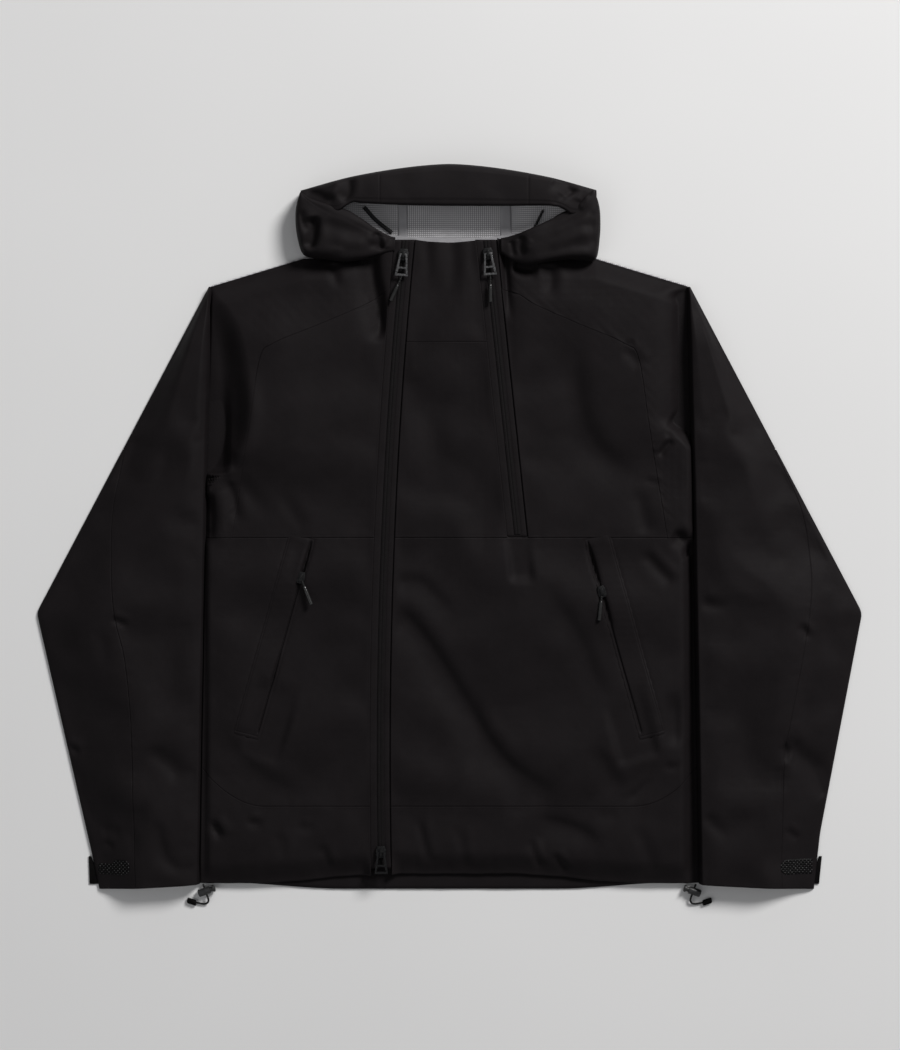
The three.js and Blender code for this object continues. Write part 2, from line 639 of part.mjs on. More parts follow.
function buildHood() {
  const back = patch({
    left: flat(-158), right: flat(158), bottom: flat(HINGE_Y + GAP), top: (x) => crownOuterY(x) - 6,
  }, 8, 3);
  add('hood_back_panel', plate(back, flat(CLOTH)), LINING);
  // Crown: rises from the rim, rolls over and comes forward to the brim.
  const crownTop = (x, y) => {
    const inward = crownOuterY(x) - y;
    const ends = 1 - smooth(120, 160, Math.abs(x));
    return mix(10, 40, smooth(0, 16, inward) * mix(0.75, 1, ends)) - 5 * smooth(20, 45, inward);
  };
  const crown = patch({
    left: flat(-118), right: flat(118), bottom: flat(358), top: crownOuterY,
  }, 10, 5);
  add('hood_crown', plate(crown, crownTop, 2.4), HOOD_SHELL);
  const outer = [[169, HINGE_Y + 0.6], [171, 345], [169, 365], [164, 377.6], [119, crownOuterY(119)]];
  const rim = [[72, HINGE_Y + 0.6], [92, 335], [106, 346], [112, 352], [118.6, 358.5]];
  for (const [side, { sign }] of Object.entries(SIDES)) {
    const roll = (x, y) => {
      const rise = smooth(171, 140, x) * smooth(HINGE_Y - 6, HINGE_Y + 30, y);
      return mix(14, 37, rise) - 4 * smooth(130, 100, x);
    };
    add(`hood_side_${side}`, mirrored(plate(ladder(outer, rim, 5, 0.6), roll, 2.4), sign), HOOD_SHELL);
  }
}

buildBack();
buildFront();
buildPockets();
buildSleeves();
buildZips();
buildSliders();
buildHem();
buildHood();

export default jacket;
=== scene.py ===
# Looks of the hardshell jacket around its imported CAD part. Lengths are in millimetres in the
# functions below and turn into metres where a mesh is made. Left and right are the viewer's.
import json
import math

import bmesh
import bpy
import numpy as np
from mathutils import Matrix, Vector


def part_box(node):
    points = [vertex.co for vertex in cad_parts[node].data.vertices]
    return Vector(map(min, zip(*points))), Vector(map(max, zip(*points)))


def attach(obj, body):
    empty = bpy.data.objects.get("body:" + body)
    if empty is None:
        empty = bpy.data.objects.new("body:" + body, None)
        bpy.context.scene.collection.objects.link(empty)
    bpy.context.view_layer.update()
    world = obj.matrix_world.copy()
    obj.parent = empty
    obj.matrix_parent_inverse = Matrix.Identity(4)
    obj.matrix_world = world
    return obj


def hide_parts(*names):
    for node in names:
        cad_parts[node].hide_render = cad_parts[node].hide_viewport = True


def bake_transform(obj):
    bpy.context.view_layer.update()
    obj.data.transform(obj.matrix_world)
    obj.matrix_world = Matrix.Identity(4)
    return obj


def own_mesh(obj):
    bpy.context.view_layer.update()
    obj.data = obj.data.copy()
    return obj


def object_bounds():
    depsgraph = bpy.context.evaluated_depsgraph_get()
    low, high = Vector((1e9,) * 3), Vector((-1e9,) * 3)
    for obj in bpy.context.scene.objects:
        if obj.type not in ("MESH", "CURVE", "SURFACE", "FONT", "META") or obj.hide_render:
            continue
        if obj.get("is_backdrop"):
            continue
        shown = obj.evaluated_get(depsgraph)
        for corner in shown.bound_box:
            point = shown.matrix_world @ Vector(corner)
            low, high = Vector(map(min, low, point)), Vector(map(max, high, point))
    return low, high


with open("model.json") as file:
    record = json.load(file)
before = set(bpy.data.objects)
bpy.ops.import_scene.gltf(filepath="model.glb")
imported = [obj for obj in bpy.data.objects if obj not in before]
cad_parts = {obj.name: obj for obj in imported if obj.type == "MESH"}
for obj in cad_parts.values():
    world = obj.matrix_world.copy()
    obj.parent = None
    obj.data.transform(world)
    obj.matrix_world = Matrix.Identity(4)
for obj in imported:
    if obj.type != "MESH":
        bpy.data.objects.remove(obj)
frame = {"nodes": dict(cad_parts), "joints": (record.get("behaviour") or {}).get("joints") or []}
cad_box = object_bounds()

MM = 0.001
SIDES = {"left": -1.0, "right": 1.0}


def link(name, data):
    """A new object in the scene that shows data."""
    obj = bpy.data.objects.new(name, data)
    bpy.context.scene.collection.objects.link(obj)
    return obj


# ---------------------------------------------------------------- camera


def add_camera():
    """Straight above the jacket, looking down at its front. Metres."""
    CENTRE_X = 0.0006
    CENTRE_Y = 0.0019
    FRONT_HEIGHT = 0.012
    VIEW_HEIGHT = 1.168
    DISTANCE = 2.7
    data = bpy.data.cameras.new("camera")
    data.sensor_fit = "VERTICAL"
    data.sensor_height = 36
    data.lens = data.sensor_height * DISTANCE / VIEW_HEIGHT
    camera = link("camera", data)
    camera.location = (CENTRE_X, CENTRE_Y, DISTANCE + FRONT_HEIGHT)
    bpy.context.scene.camera = camera


add_camera()

# ---------------------------------------------------------------- driving dimensions

# Heights of the body's front, of its shoulder edge and of its lowest cloth, and the thicknesses.
FRONT_TOP = 16.0
EDGE_TOP = 4.0
FRONT_FLOOR = 2.2
CLOTH = 0.8
HOOD_CLOTH = 0.9
# Space between neighbouring panels, and how far one reaches under another.
GAP = 0.35
LAP = 1.4
# Seams and ends of the body.
CHEST_SEAM_Y = -12.0
CHIN_SEAM_Y = 205.0
HEM_SEAM_Y = -311.0
BACK_SEAM_Y = HEM_SEAM_Y - 30
HEM_END_Y = -387.0
TAIL_END_Y = -404.5
SHOULDER_X = 266.0
SHOULDER_Y = 268.0
NECK_X = 163.0
NECK_Y = 299.0
ELBOW_X = 461.0
ELBOW_Y = -96.0
# The main zip lies on a large circle whose leftmost point is its vertex.
ZIP_VERTEX_X = -77.0
ZIP_VERTEX_Y = -250.0
ZIP_RADIUS = 5900.0
ZIP_TOP_Y = 310.0
ZIP_BOTTOM_Y = -380.0
ZIP_HALF = 11.6
TAPE_Z = 15.0
# The pocket's zip line on the right side. The left side mirrors it.
POCKET_TOP = np.array([154.8, -20.0])
POCKET_END = np.array([212.8, -229.0])
POCKET_LENGTH = float(np.linalg.norm(POCKET_END - POCKET_TOP))
# Outer points of each cuff, and the inner end of both.
CUFFS = {
    "left": {"outer": (400.0, -362.0), "corner": (391.0, -404.5)},
    "right": {"outer": (414.0, -342.0), "corner": (407.0, -404.5)},
}
CUFF_INNER = (280.0, -398.0)

# ---------------------------------------------------------------- numbers


def smooth(low, high, value):
    """Rises smoothly from 0 at low to 1 at high, or falls where high is the smaller."""
    t = np.clip((value - low) / (high - low), 0, 1)
    return t * t * (3 - 2 * t)


def mix(a, b, t):
    return a + (b - a) * t


def bell(distance, width):
    """1 at no distance, falling smoothly to 0 over about twice the width."""
    return np.exp(-((distance / width) ** 2))


def table(pairs):
    """Straight-line function through (v, value) pairs in rising order of v."""
    keys = [p[0] for p in pairs]
    values = [p[1] for p in pairs]
    return lambda v: np.interp(v, keys, values)


def run_along(points):
    """Distance along a line of points, from 0 at its first point."""
    return np.concatenate([[0], np.cumsum(np.linalg.norm(np.diff(points, axis=0), axis=1))])


def curve(points, count):
    """Evenly spread points on a smooth curve through the given ones."""
    p = np.array(points, float)
    p = np.vstack([2 * p[0] - p[1], p, 2 * p[-1] - p[-2]])
    dense = []
    for a, b, c, d in zip(p, p[1:], p[2:], p[3:]):
        for t in np.linspace(0, 1, 24, endpoint=False):
            dense.append(0.5 * (2 * b + (c - a) * t + (2 * a - 5 * b + 4 * c - d) * t * t
                                + (3 * b - a - 3 * c + d) * t ** 3))
    dense.append(p[-2])
    dense = np.array(dense)
    run = run_along(dense)
    at = np.linspace(0, run[-1], count)
    return np.stack([np.interp(at, run, dense[:, k]) for k in range(dense.shape[1])], axis=1)


def curve_over_y(points):
    """x as a function of y on a smooth curve whose y only rises or only falls."""
    dense = curve(points, 160)
    order = np.argsort(dense[:, 1])
    return lambda y: np.interp(y, dense[order, 1], dense[order, 0])


def noise(x, y, scale, seed):
    """Smooth gradient noise from about -1 to 1, with features about scale across."""
    SIZE = 64
    angles = np.random.default_rng(seed).uniform(0, 2 * math.pi, (SIZE, SIZE))
    u = x / scale
    v = y / scale
    i = np.floor(u).astype(int)
    j = np.floor(v).astype(int)
    fu = u - i
    fv = v - j

    def corner(di, dj):
        angle = angles[(i + di) % SIZE, (j + dj) % SIZE]
        return np.cos(angle) * (fu - di) + np.sin(angle) * (fv - dj)

    su = fu * fu * fu * (fu * (fu * 6 - 15) + 10)
    sv = fv * fv * fv * (fv * (fv * 6 - 15) + 10)
    low = mix(corner(0, 0), corner(1, 0), su)
    high = mix(corner(0, 1), corner(1, 1), su)
    return 1.5 * mix(low, high, sv)


def creases(x, y, scale, seed, sharp):
    """Thin raised lines between 0 and 1, where the noise crosses zero."""
    wander = noise(x, y, scale * 1.7, seed + 50) * scale * 0.5
    return np.exp(-np.abs(noise(x + wander, y - wander, scale, seed)) * sharp * 3)


# ---------------------------------------------------------------- folds


def along_route(x, y, route):
    """Distance to a route, signed by its side, and how far along the route the nearest point is."""
    line = curve(route, max(6, 5 * len(route)))
    best = np.full(x.shape, 1e9)
    signed = np.zeros(x.shape)
    place = np.zeros(x.shape)
    steps = len(line) - 1
    for k in range(steps):
        ax, ay = line[k]
        bx, by = line[k + 1]
        dx = bx - ax
        dy = by - ay
        t = np.clip(((x - ax) * dx + (y - ay) * dy) / (dx * dx + dy * dy), 0, 1)
        ox = x - ax - t * dx
        oy = y - ay - t * dy
        d = np.hypot(ox, oy)
        near = d < best
        best = np.where(near, d, best)
        signed = np.where(near, np.sign(dx * oy - dy * ox) * d, signed)
        place = np.where(near, (k + t) / steps, place)
    return signed, place


def fold(x, y, route, depth, width, lip, steep, ends):
    """A fold along a route: depth below 0 is a valley. The width on its left side is width, on its
    right side width times steep. lip raises the cloth beside its left side, as a share of depth."""
    r = np.array(route)
    reach = 4 * width * max(1.0, steep) + 10
    inside = ((x > r[:, 0].min() - reach) & (x < r[:, 0].max() + reach)
              & (y > r[:, 1].min() - reach) & (y < r[:, 1].max() + reach))
    out = np.zeros(x.shape)
    if not inside.any():
        return out
    d, t = along_route(x[inside], y[inside], route)
    w = np.where(d > 0, width, width * steep)
    start, end = ends
    taper = smooth(0, max(start, 1e-3), t) * smooth(1, 1 - max(end, 1e-3), t)
    shape = bell(d, w) - lip * bell(d - 2.0 * width, 1.1 * width)
    out[inside] = depth * taper * shape
    return out


# Each fold: route, height (a valley's is negative), width, lip, width of the other side as a share,
# and the taper at each end as a share of the route.
BODY_FOLDS = [
    # Armholes: valleys beside the sleeves, and the raised cloth at the edge of the left one.
    ([(-226, 190), (-219, 140), (-223, 100), (-240, 66)], 4.5, 10, 0, 1.0, (0.5, 0.15)),
    ([(-238, 68), (-252, 58), (-272, 49)], 2.5, 5, 0, 1.3, (0.3, 0.02)),
    ([(-271, 40), (-267, 10), (-270, -24)], -7, 7, 0.2, 1.2, (0.15, 0.3)),
    ([(-248, 54), (-240, 32), (-235, 0)], -2.8, 5, 0.35, 1.3, (0.2, 0.3)),
    ([(-242, 54), (-222, 38), (-198, 6)], -1.7, 8, 0.3, 1.2, (0.2, 0.4)),
    ([(-190, 42), (-176, 18), (-160, -4)], -1.3, 7, 0.3, 1, (0.4, 0.2)),
    ([(262, 266), (264, 190), (264, 130), (259, 102)], -12.5, 8, 0, 2.5, (0.08, 0.1)),
    ([(244, 122), (256, 116), (270, 112)], -7, 8, 0, 1, (0.3, 0.1)),
    ([(232, 77), (240, 88), (249, 97)], -2.8, 3.5, 0.6, 1.2, (0.25, 0.25)),
    ([(216, 52), (226, 50), (236, 47)], -1.4, 3, 0.4, 1, (0.3, 0.3)),
    ([(246, -8), (262, -16), (272, -30)], -7, 7, 0.1, 1.3, (0.3, 0.05)),
    ([(214, -26), (226, -40), (250, -65)], -3.2, 5, 0.3, 1.5, (0.25, 0.2)),
    # Collar: cloth gathered below the hood's rolls.
    ([(-88, 304), (-84, 272), (-76, 240), (-67, 206)], -12, 8, 0, 1.8, (0.05, 0.14)),
    ([(-94, 262), (-84, 236), (-70, 208)], 1.6, 4.0, 0, 1, (0.3, 0.1)),
    ([(-150, 303), (-124, 300), (-96, 298)], -5, 5, 0, 1, (0.25, 0.1)),
    ([(-128, 294), (-128, 280), (-122, 262)], -2.5, 5, 0.3, 1.2, (0.1, 0.5)),
    ([(60, 306), (61, 276), (62, 252), (66, 224)], -9, 6, 0, 0.8, (0.05, 0.45)),
    ([(70, 292), (84, 287), (100, 286)], -8, 7, 0, 1, (0.2, 0.3)),
    ([(96, 300), (124, 300), (150, 302)], -4, 5, 0, 1, (0.15, 0.3)),
    ([(112, 292), (113, 272), (108, 252)], -3, 6, 0.3, 1.2, (0.1, 0.5)),
    ([(2, 320), (4, 284), (0, 244)], -2.4, 8, 0.3, 1, (0.02, 0.6)),
    ([(-26, 318), (-24, 290), (-28, 262)], -1.6, 6, 0.3, 1, (0.02, 0.6)),
    ([(26, 318), (27, 296), (24, 270)], -1.2, 6, 0.2, 1, (0.02, 0.6)),
    # Right chest.
    ([(136, 214), (139, 166), (146, 120), (168, 82), (214, 44)], -4.6, 12, 0.1, 2.0, (0.25, 0.3)),
    ([(190, 196), (202, 190), (212, 176)], -2.4, 6, 0.3, 1, (0.3, 0.3)),
    ([(194, 200), (206, 206)], -1.5, 4, 0, 1, (0.3, 0.3)),
    ([(208, 44), (216, 10), (222, -10)], -2.5, 8, 0.2, 1, (0.3, 0.2)),
    # Left chest and middle.
    ([(-20, 140), (-16, 90), (-22, 40)], -1.2, 12, 0.3, 1, (0.4, 0.4)),
    ([(-150, -60), (-140, -150), (-160, -240)], -1.6, 28, 0, 1, (0.4, 0.4)),
    ([(-130, 110), (-168, 30), (-160, -6)], -1.2, 26, 0.2, 1, (0.4, 0.3)),
    # Lower front, from the upper left down to the right.
    ([(-62, -88), (-55, -94), (-24, -131), (12, -188), (54, -254), (95, -287), (136, -308)],
     -5.0, 8.5, 0.1, 2.6, (0.08, 0.3)),
    ([(-60, -62), (-33, -63), (-12, -82), (13, -110)], -2.4, 7, 0.1, 2.2, (0.1, 0.5)),
    ([(96, -60), (127, -98), (148, -135), (164, -176), (185, -206)], -3.2, 9, 0.1, 2.4, (0.35, 0.35)),
    ([(160, -240), (176, -270), (194, -296)], -2.6, 7, 0.1, 2.2, (0.3, 0.3)),
    ([(20, -150), (30, -210), (26, -300)], -1.0, 9, 0.2, 1, (0.4, 0.3)),
    ([(249, -180), (250, -210), (252, -250)], -4.0, 8, 0.2, 1.2, (0.35, 0.3)),
    ([(238, -262), (248, -268), (256, -262)], -2.0, 4, 0.5, 1, (0.3, 0.3)),
    ([(196, -306), (212, -294), (226, -278)], -1.4, 4, 0.5, 1, (0.3, 0.3)),
    ([(-256, -232), (-236, -252), (-208, -279), (-150, -306)], -2.2, 9, 0.1, 2.4, (0.25, 0.4)),
    # Hem bands.
    ([(-266, -326), (-262, -333), (-252, -348)], -5.0, 5, 0.4, 0.8, (0.25, 0.3)),
    ([(-226, -327), (-216, -330), (-206, -330)], -2.6, 4, 0.4, 1, (0.3, 0.3)),
    ([(-170, -330), (-160, -336), (-148, -332)], -1.6, 5, 0.4, 1, (0.3, 0.3)),
    ([(-142, -352), (-138, -366), (-131, -380)], -2.0, 4, 0.5, 1, (0.3, 0.2)),
    ([(-196, -340), (-186, -352), (-190, -368)], -1.2, 5, 0.4, 1, (0.3, 0.3)),
    ([(94, -325), (127, -332), (152, -342), (174, -362)], -3.0, 6, 0.1, 2.4, (0.25, 0.35)),
    ([(90, -346), (94, -364), (104, -380)], -2.2, 3.5, 0.6, 1, (0.25, 0.2)),
    ([(114, -364), (122, -372), (130, -384)], -2.4, 3.5, 0.6, 1, (0.2, 0.15)),
    ([(-35, -322), (-30, -345), (-22, -375)], -2.2, 4, 0.5, 1, (0.25, 0.2)),
    ([(10, -330), (14, -357), (21, -384)], -1.6, 5, 0.4, 1, (0.3, 0.2)),
    ([(206, -330), (216, -352), (228, -386)], -1.6, 7, 0.4, 1, (0.3, 0.1)),
    ([(160, -318), (176, -322), (192, -318)], -1.0, 6, 0.3, 1, (0.3, 0.3)),
]
SLEEVE_FOLDS = {
    "left": [
        ([(-330, -240), (-324, -254), (-309, -266), (-294, -287)], -3.4, 11, 0, 0.8, (0.25, 0.3)),
        ([(-304, -82), (-308, -150), (-303, -236)], -3.4, 15, 0.1, 1.8, (0.35, 0.35)),
        ([(-325, -322), (-320, -349), (-312, -371), (-287, -389)], -2.4, 6, 0.1, 1.4, (0.2, 0.35)),
        ([(-384, -348), (-380, -354), (-372, -358)], -1.6, 4, 0.4, 1, (0.3, 0.3)),
        ([(-376, -102), (-366, -106), (-355, -111)], -2.6, 3.5, 0.5, 1, (0.25, 0.3)),
        ([(-392, -110), (-384, -132), (-382, -160)], -1.2, 7, 0.3, 1, (0.3, 0.4)),
        ([(-430, -246), (-420, -249), (-411, -254)], -3.2, 4, 0.4, 1, (0.05, 0.4)),
        ([(-420, -262), (-412, -300), (-400, -340)], -1.4, 8, 0.2, 1, (0.3, 0.3)),
        ([(-380, 20), (-350, -40), (-330, -120)], -1.4, 26, 0, 1, (0.4, 0.4)),
        ([(-390, -340), (-378, -338), (-364, -344)], -1.8, 6, 0.3, 1, (0.3, 0.3)),
        ([(-356, -330), (-350, -352), (-352, -376)], -1.6, 6, 0.3, 1, (0.3, 0.4)),
    ],
    "right": [
        ([(370, -236), (388, -254), (404, -268), (424, -298)], -4.6, 12, 0, 0.8, (0.2, 0.05)),
        ([(371, -240), (374, -250), (373, -262)], -2.6, 3, 0.6, 1, (0.2, 0.3)),
        ([(416, -330), (419, -342), (415, -352)], -3.0, 4, 0.3, 1, (0.2, 0.2)),
        ([(372, -334), (380, -342), (390, -348)], -2.2, 4, 0.4, 1, (0.3, 0.3)),
        ([(282, -318), (296, -334), (312, -348)], -1.6, 6, 0.3, 1.2, (0.2, 0.4)),
        ([(280, -84), (296, -88), (314, -84)], -2.2, 6, 0.4, 1, (0.1, 0.5)),
        ([(386, -108), (394, -116), (400, -126)], -3.0, 4, 0.5, 1, (0.3, 0.4)),
        ([(420, -70), (418, -110), (424, -150)], -1.6, 10, 0.2, 1, (0.3, 0.4)),
        ([(350, 60), (336, -20), (350, -140)], -1.6, 26, 0, 1, (0.4, 0.4)),
        ([(322, -170), (330, -240), (324, -320)], -1.6, 16, 0.2, 1, (0.4, 0.4)),
        ([(404, -180), (398, -220), (404, -250)], -1.6, 10, 0.3, 1, (0.3, 0.4)),
    ],
}


def fold_sum(x, y, folds):
    total = np.zeros(x.shape)
    for values in folds:
        total += fold(x, y, *values)
    return total


def quads(index):
    """Four-sided faces between the neighbouring points of a grid of point numbers."""
    corners = (index[:-1, :-1], index[:-1, 1:], index[1:, 1:], index[1:, :-1])
    return np.stack(corners, -1).reshape(-1, 4)


def simulate_slack(x, y, z, free, slack, seed):
    """Height change of a cloth that is a little too large for its pinned edge, so that it buckles.
    The grid is simulated at ten times its size in metres, where the solver is steady."""
    SCALE = 0.01
    FRAMES = 26
    FURTHEST = 4
    rows, columns = x.shape
    start = z + (0.8 * noise(x, y, 60, seed) + 0.3 * noise(x, y, 28, seed + 1)) * free
    points = np.stack([x, y, start], -1).reshape(-1, 3) * SCALE
    index = np.arange(rows * columns).reshape(rows, columns)
    mesh = bpy.data.meshes.new("slack")
    mesh.from_pydata(points.tolist(), [], quads(index).tolist())
    obj = link("slack", mesh)
    group = obj.vertex_groups.new(name="held")
    for vertex, share in zip(index.reshape(-1).tolist(), (1 - free).reshape(-1).tolist()):
        if share > 0.02:
            group.add([vertex], share, "REPLACE")
    cloth = obj.modifiers.new("cloth", "CLOTH")
    settings = cloth.settings
    settings.quality = 5
    settings.mass = 0.25
    settings.tension_stiffness = 30
    settings.compression_stiffness = 30
    settings.shear_stiffness = 12
    settings.bending_stiffness = 6.0
    settings.air_damping = 3
    settings.vertex_group_mass = "held"
    settings.pin_stiffness = 1
    settings.shrink_min = -slack
    settings.effector_weights.gravity = 0
    cloth.point_cache.frame_start = 1
    cloth.point_cache.frame_end = FRAMES
    scene = bpy.context.scene
    for number in range(1, FRAMES + 1):
        scene.frame_set(number)
    shaped = obj.evaluated_get(bpy.context.evaluated_depsgraph_get()).to_mesh()
    out = np.zeros(len(points) * 3)
    shaped.vertices.foreach_get("co", out)
    scene.frame_set(1)
    bpy.data.objects.remove(obj)
    bpy.data.meshes.remove(mesh)
    moved = out.reshape(rows, columns, 3)[..., 2] / SCALE - z
    return np.clip(np.nan_to_num(moved), -FURTHEST, FURTHEST)


def sampler(u_range, v_range, values):
    """Smooth look-up in a regular grid of values."""
    rows, columns = values.shape

    def look(u, v):
        a = np.clip((u - u_range[0]) / (u_range[1] - u_range[0]), 0, 1) * (columns - 1)
        b = np.clip((v - v_range[0]) / (v_range[1] - v_range[0]), 0, 1) * (rows - 1)
        j = np.minimum(a.astype(int), columns - 2)
        i = np.minimum(b.astype(int), rows - 2)
        fa = a - j
        fb = b - i
        fa = fa * fa * (3 - 2 * fa) * 0.5 + fa * 0.5
        fb = fb * fb * (3 - 2 * fb) * 0.5 + fb * 0.5
        low = mix(values[i, j], values[i, j + 1], fa)
        high = mix(values[i + 1, j], values[i + 1, j + 1], fa)
        return mix(low, high, fb)

    return look


# Look-ups of the simulated height changes, flat until the simulations have run.
SLACK = {name: lambda u, v: u * 0 for name in ("body", "left", "right")}


def run_simulations():
    """Buckles of the body's front and of each sleeve, as height changes that the panels look up."""
    STEP = 7.5
    HALF = 274
    BODY_Y = (-398, 296)
    SLEEVE_Y = (-402, 262)
    x, y = np.meshgrid(np.linspace(-HALF, HALF, int(2 * HALF / STEP)),
                       np.linspace(*BODY_Y, int((BODY_Y[1] - BODY_Y[0]) / STEP)))
    edge = np.minimum(np.minimum(HALF - np.abs(x), y - BODY_Y[0]), shoulder_y(x) - y)
    seams = np.minimum(np.abs(y - CHEST_SEAM_Y), np.abs(y - hem_seam_y(x)))
    free = smooth(0, 14, edge) * near_zips(x, y) * (0.35 + 0.65 * smooth(0, 10, seams))
    z = front_top(x, y) + free * fold_sum(x, y, BODY_FOLDS)
    SLACK["body"] = sampler((-HALF, HALF), BODY_Y, simulate_slack(x, y, z, free, 0.005, 3))
    for side, sign in SIDES.items():
        outer = outer_x(side)
        u, v = np.meshgrid(np.linspace(0, 1, 26),
                           np.linspace(*SLEEVE_Y, int((SLEEVE_Y[1] - SLEEVE_Y[0]) / STEP)))
        ax = mix(inner_x(v), outer(v), u)
        z = sleeve_cloth(side)(ax * sign, v)
        free = smooth(0, 0.1, u) * smooth(1, 0.9, u) * smooth(-402, -388, v) * smooth(170, 90, v)
        moved = simulate_slack(ax * sign, v, z, free, 0.006, 7 if sign > 0 else 8)
        SLACK[side] = sampler((0, 1), SLEEVE_Y, moved)


def wrinkles(x, y, seed):
    """What is left of the cloth's own unevenness: soft waves and small creases."""
    slow = 1.0 * noise(x, y * 0.8, 110, seed) + 0.32 * noise(x, y, 48, seed + 1)
    fine = 0.07 * noise(x, y, 19, seed + 2) + 0.03 * noise(x, y, 8, seed + 3)
    patches = smooth(0.1, 0.8, noise(x, y, 130, seed + 4))
    sharp = 0.28 * creases(x, y, 60, seed + 5, 2.2) * patches
    return slow + fine + sharp


def puckers(distance, run, seed, height=0.3, reach=9.0, pitch=7.0):
    """Small ripples that stand square to a seam and fade away from it."""
    wave = noise(run, distance * 0.25, pitch, seed) + 0.5 * noise(run, distance * 0.3, pitch / 2, seed + 1)
    return height * wave * np.exp(-distance / reach)


# ---------------------------------------------------------------- outlines


def main_zip_x(y):
    rise = y - ZIP_VERTEX_Y
    return ZIP_VERTEX_X + ZIP_RADIUS - np.sqrt(ZIP_RADIUS ** 2 - rise * rise)


def chest_zip_x(y):
    return mix(42.0, 75.6, (310 - y) / 319.0)


side_x = table([(-405, 280), (-194, 276.5), (51, 272), (SHOULDER_Y, SHOULDER_X)])
shoulder_table = table([(0, NECK_Y), (NECK_X, NECK_Y), (SHOULDER_X, SHOULDER_Y)])
inner_x = table([(-405, 281.5), (-194, 278), (51, 273.5), (SHOULDER_Y, SHOULDER_X + 1.5)])


def shoulder_y(x):
    return shoulder_table(np.abs(x))


def hem_seam_y(x):
    """The front's hem seam, which curves up towards both sides."""
    bend = np.maximum(0, np.abs(x) - 205) / 70
    return HEM_SEAM_Y + 42 * bend * bend


def hem_end_y(x):
    """The front's lower edge, slightly wavy and lower at both sides."""
    wave = 1.0 * noise(x, x * 0, 46, 5) + 0.4 * noise(x, x * 0, 17, 6)
    return HEM_END_Y - 10.5 * smooth(60, 230, np.abs(x)) + wave


def tail_end_y(x):
    return TAIL_END_Y + 7 * smooth(120, 250, np.abs(x))


YOKE_SEAM = [(77, 258), (98, 245), (146, 224), (194, 203.5), (210, 187), (221, 118), (230, 63), (242, -12)]
yoke_x = curve_over_y(YOKE_SEAM)


# Where the chest starts to fall into the left armhole, and where the fall ends.
ARMHOLE_START = curve_over_y([(266, -420), (266, 20), (262, 44), (246, 56), (226, 74), (217, 104),
                              (218, 150), (226, 205), (240, 238), (260, 262), (266, 290), (266, 400)])
ARMHOLE_FINISH = curve_over_y([(272, -420), (272, 20), (272, 60), (264, 90), (258, 130), (256, 180),
                               (262, 220), (270, 250), (272, 290), (272, 400)])


def front_top(x, y):
    """Height of the front before its folds: it falls towards the sides, the shoulders and the hem."""
    ax = np.abs(x)
    # Under the right sleeve the side stays full for a short way below the armhole.
    full = smooth(106, 84, y) * smooth(-30, -14, y)
    start = np.where(x > 0, mix(mix(257, 246, smooth(60, 100, y)), 263, full), ARMHOLE_START(y))
    finish = np.where(x > 0, 272, np.minimum(start + 42, ARMHOLE_FINISH(y)))
    open_low = smooth(42, 72, y) * smooth(185, 85, y)
    open_high = smooth(60, 120, y) * smooth(262, 170, y)
    left_edge = 11 - 5.5 * np.maximum(open_low * 0.5, open_high) - 1.5 * open_low
    edge = np.where(x > 0, mix(3.2, 12, full), left_edge)
    side = smooth(0, 1, (ax - start) / (finish - start))
    shoulder = smooth(-26, 0, y - shoulder_y(x)) * smooth(90, 170, ax)
    # The chest stands fuller beside the left armhole.
    swell = 9 * bell(x + 208, 62) * smooth(28, 90, y) * smooth(262, 200, y)
    z = mix(mix(FRONT_TOP + swell, edge, side), EDGE_TOP - 1, shoulder)
    # Low in the left armhole the cloth falls a second time.
    z = z - np.where(x < 0, 7, 0) * open_low * smooth(241, 253, ax)
    hem = smooth(26, 0, y - hem_end_y(x)) * near_zips(x, y)
    z = z - np.clip(z - 7.4, 0, 12) * hem
    # The last strip turns down to the back.
    return mix(2.6, z, np.sqrt(smooth(-0.3, 2.6, side_x(y) - ax)))


def near_zips(x, y):
    """Share of the folds that is left beside a front zip's stiff tape, where there is none on it."""
    main = np.abs(x - main_zip_x(y)) - ZIP_HALF
    chest = np.abs(x - chest_zip_x(y)) - ZIP_HALF
    chest = np.where(y > CHEST_SEAM_Y - 4, chest, 99)
    return smooth(-1, 9, np.minimum(main, chest))


def pocket_frame(x, y):
    """Distance down a pocket's zip line, and outwards from it."""
    down = (POCKET_END - POCKET_TOP) / POCKET_LENGTH
    px = np.abs(x) - POCKET_TOP[0]
    py = y - POCKET_TOP[1]
    return px * down[0] + py * down[1], -px * down[1] + py * down[0]


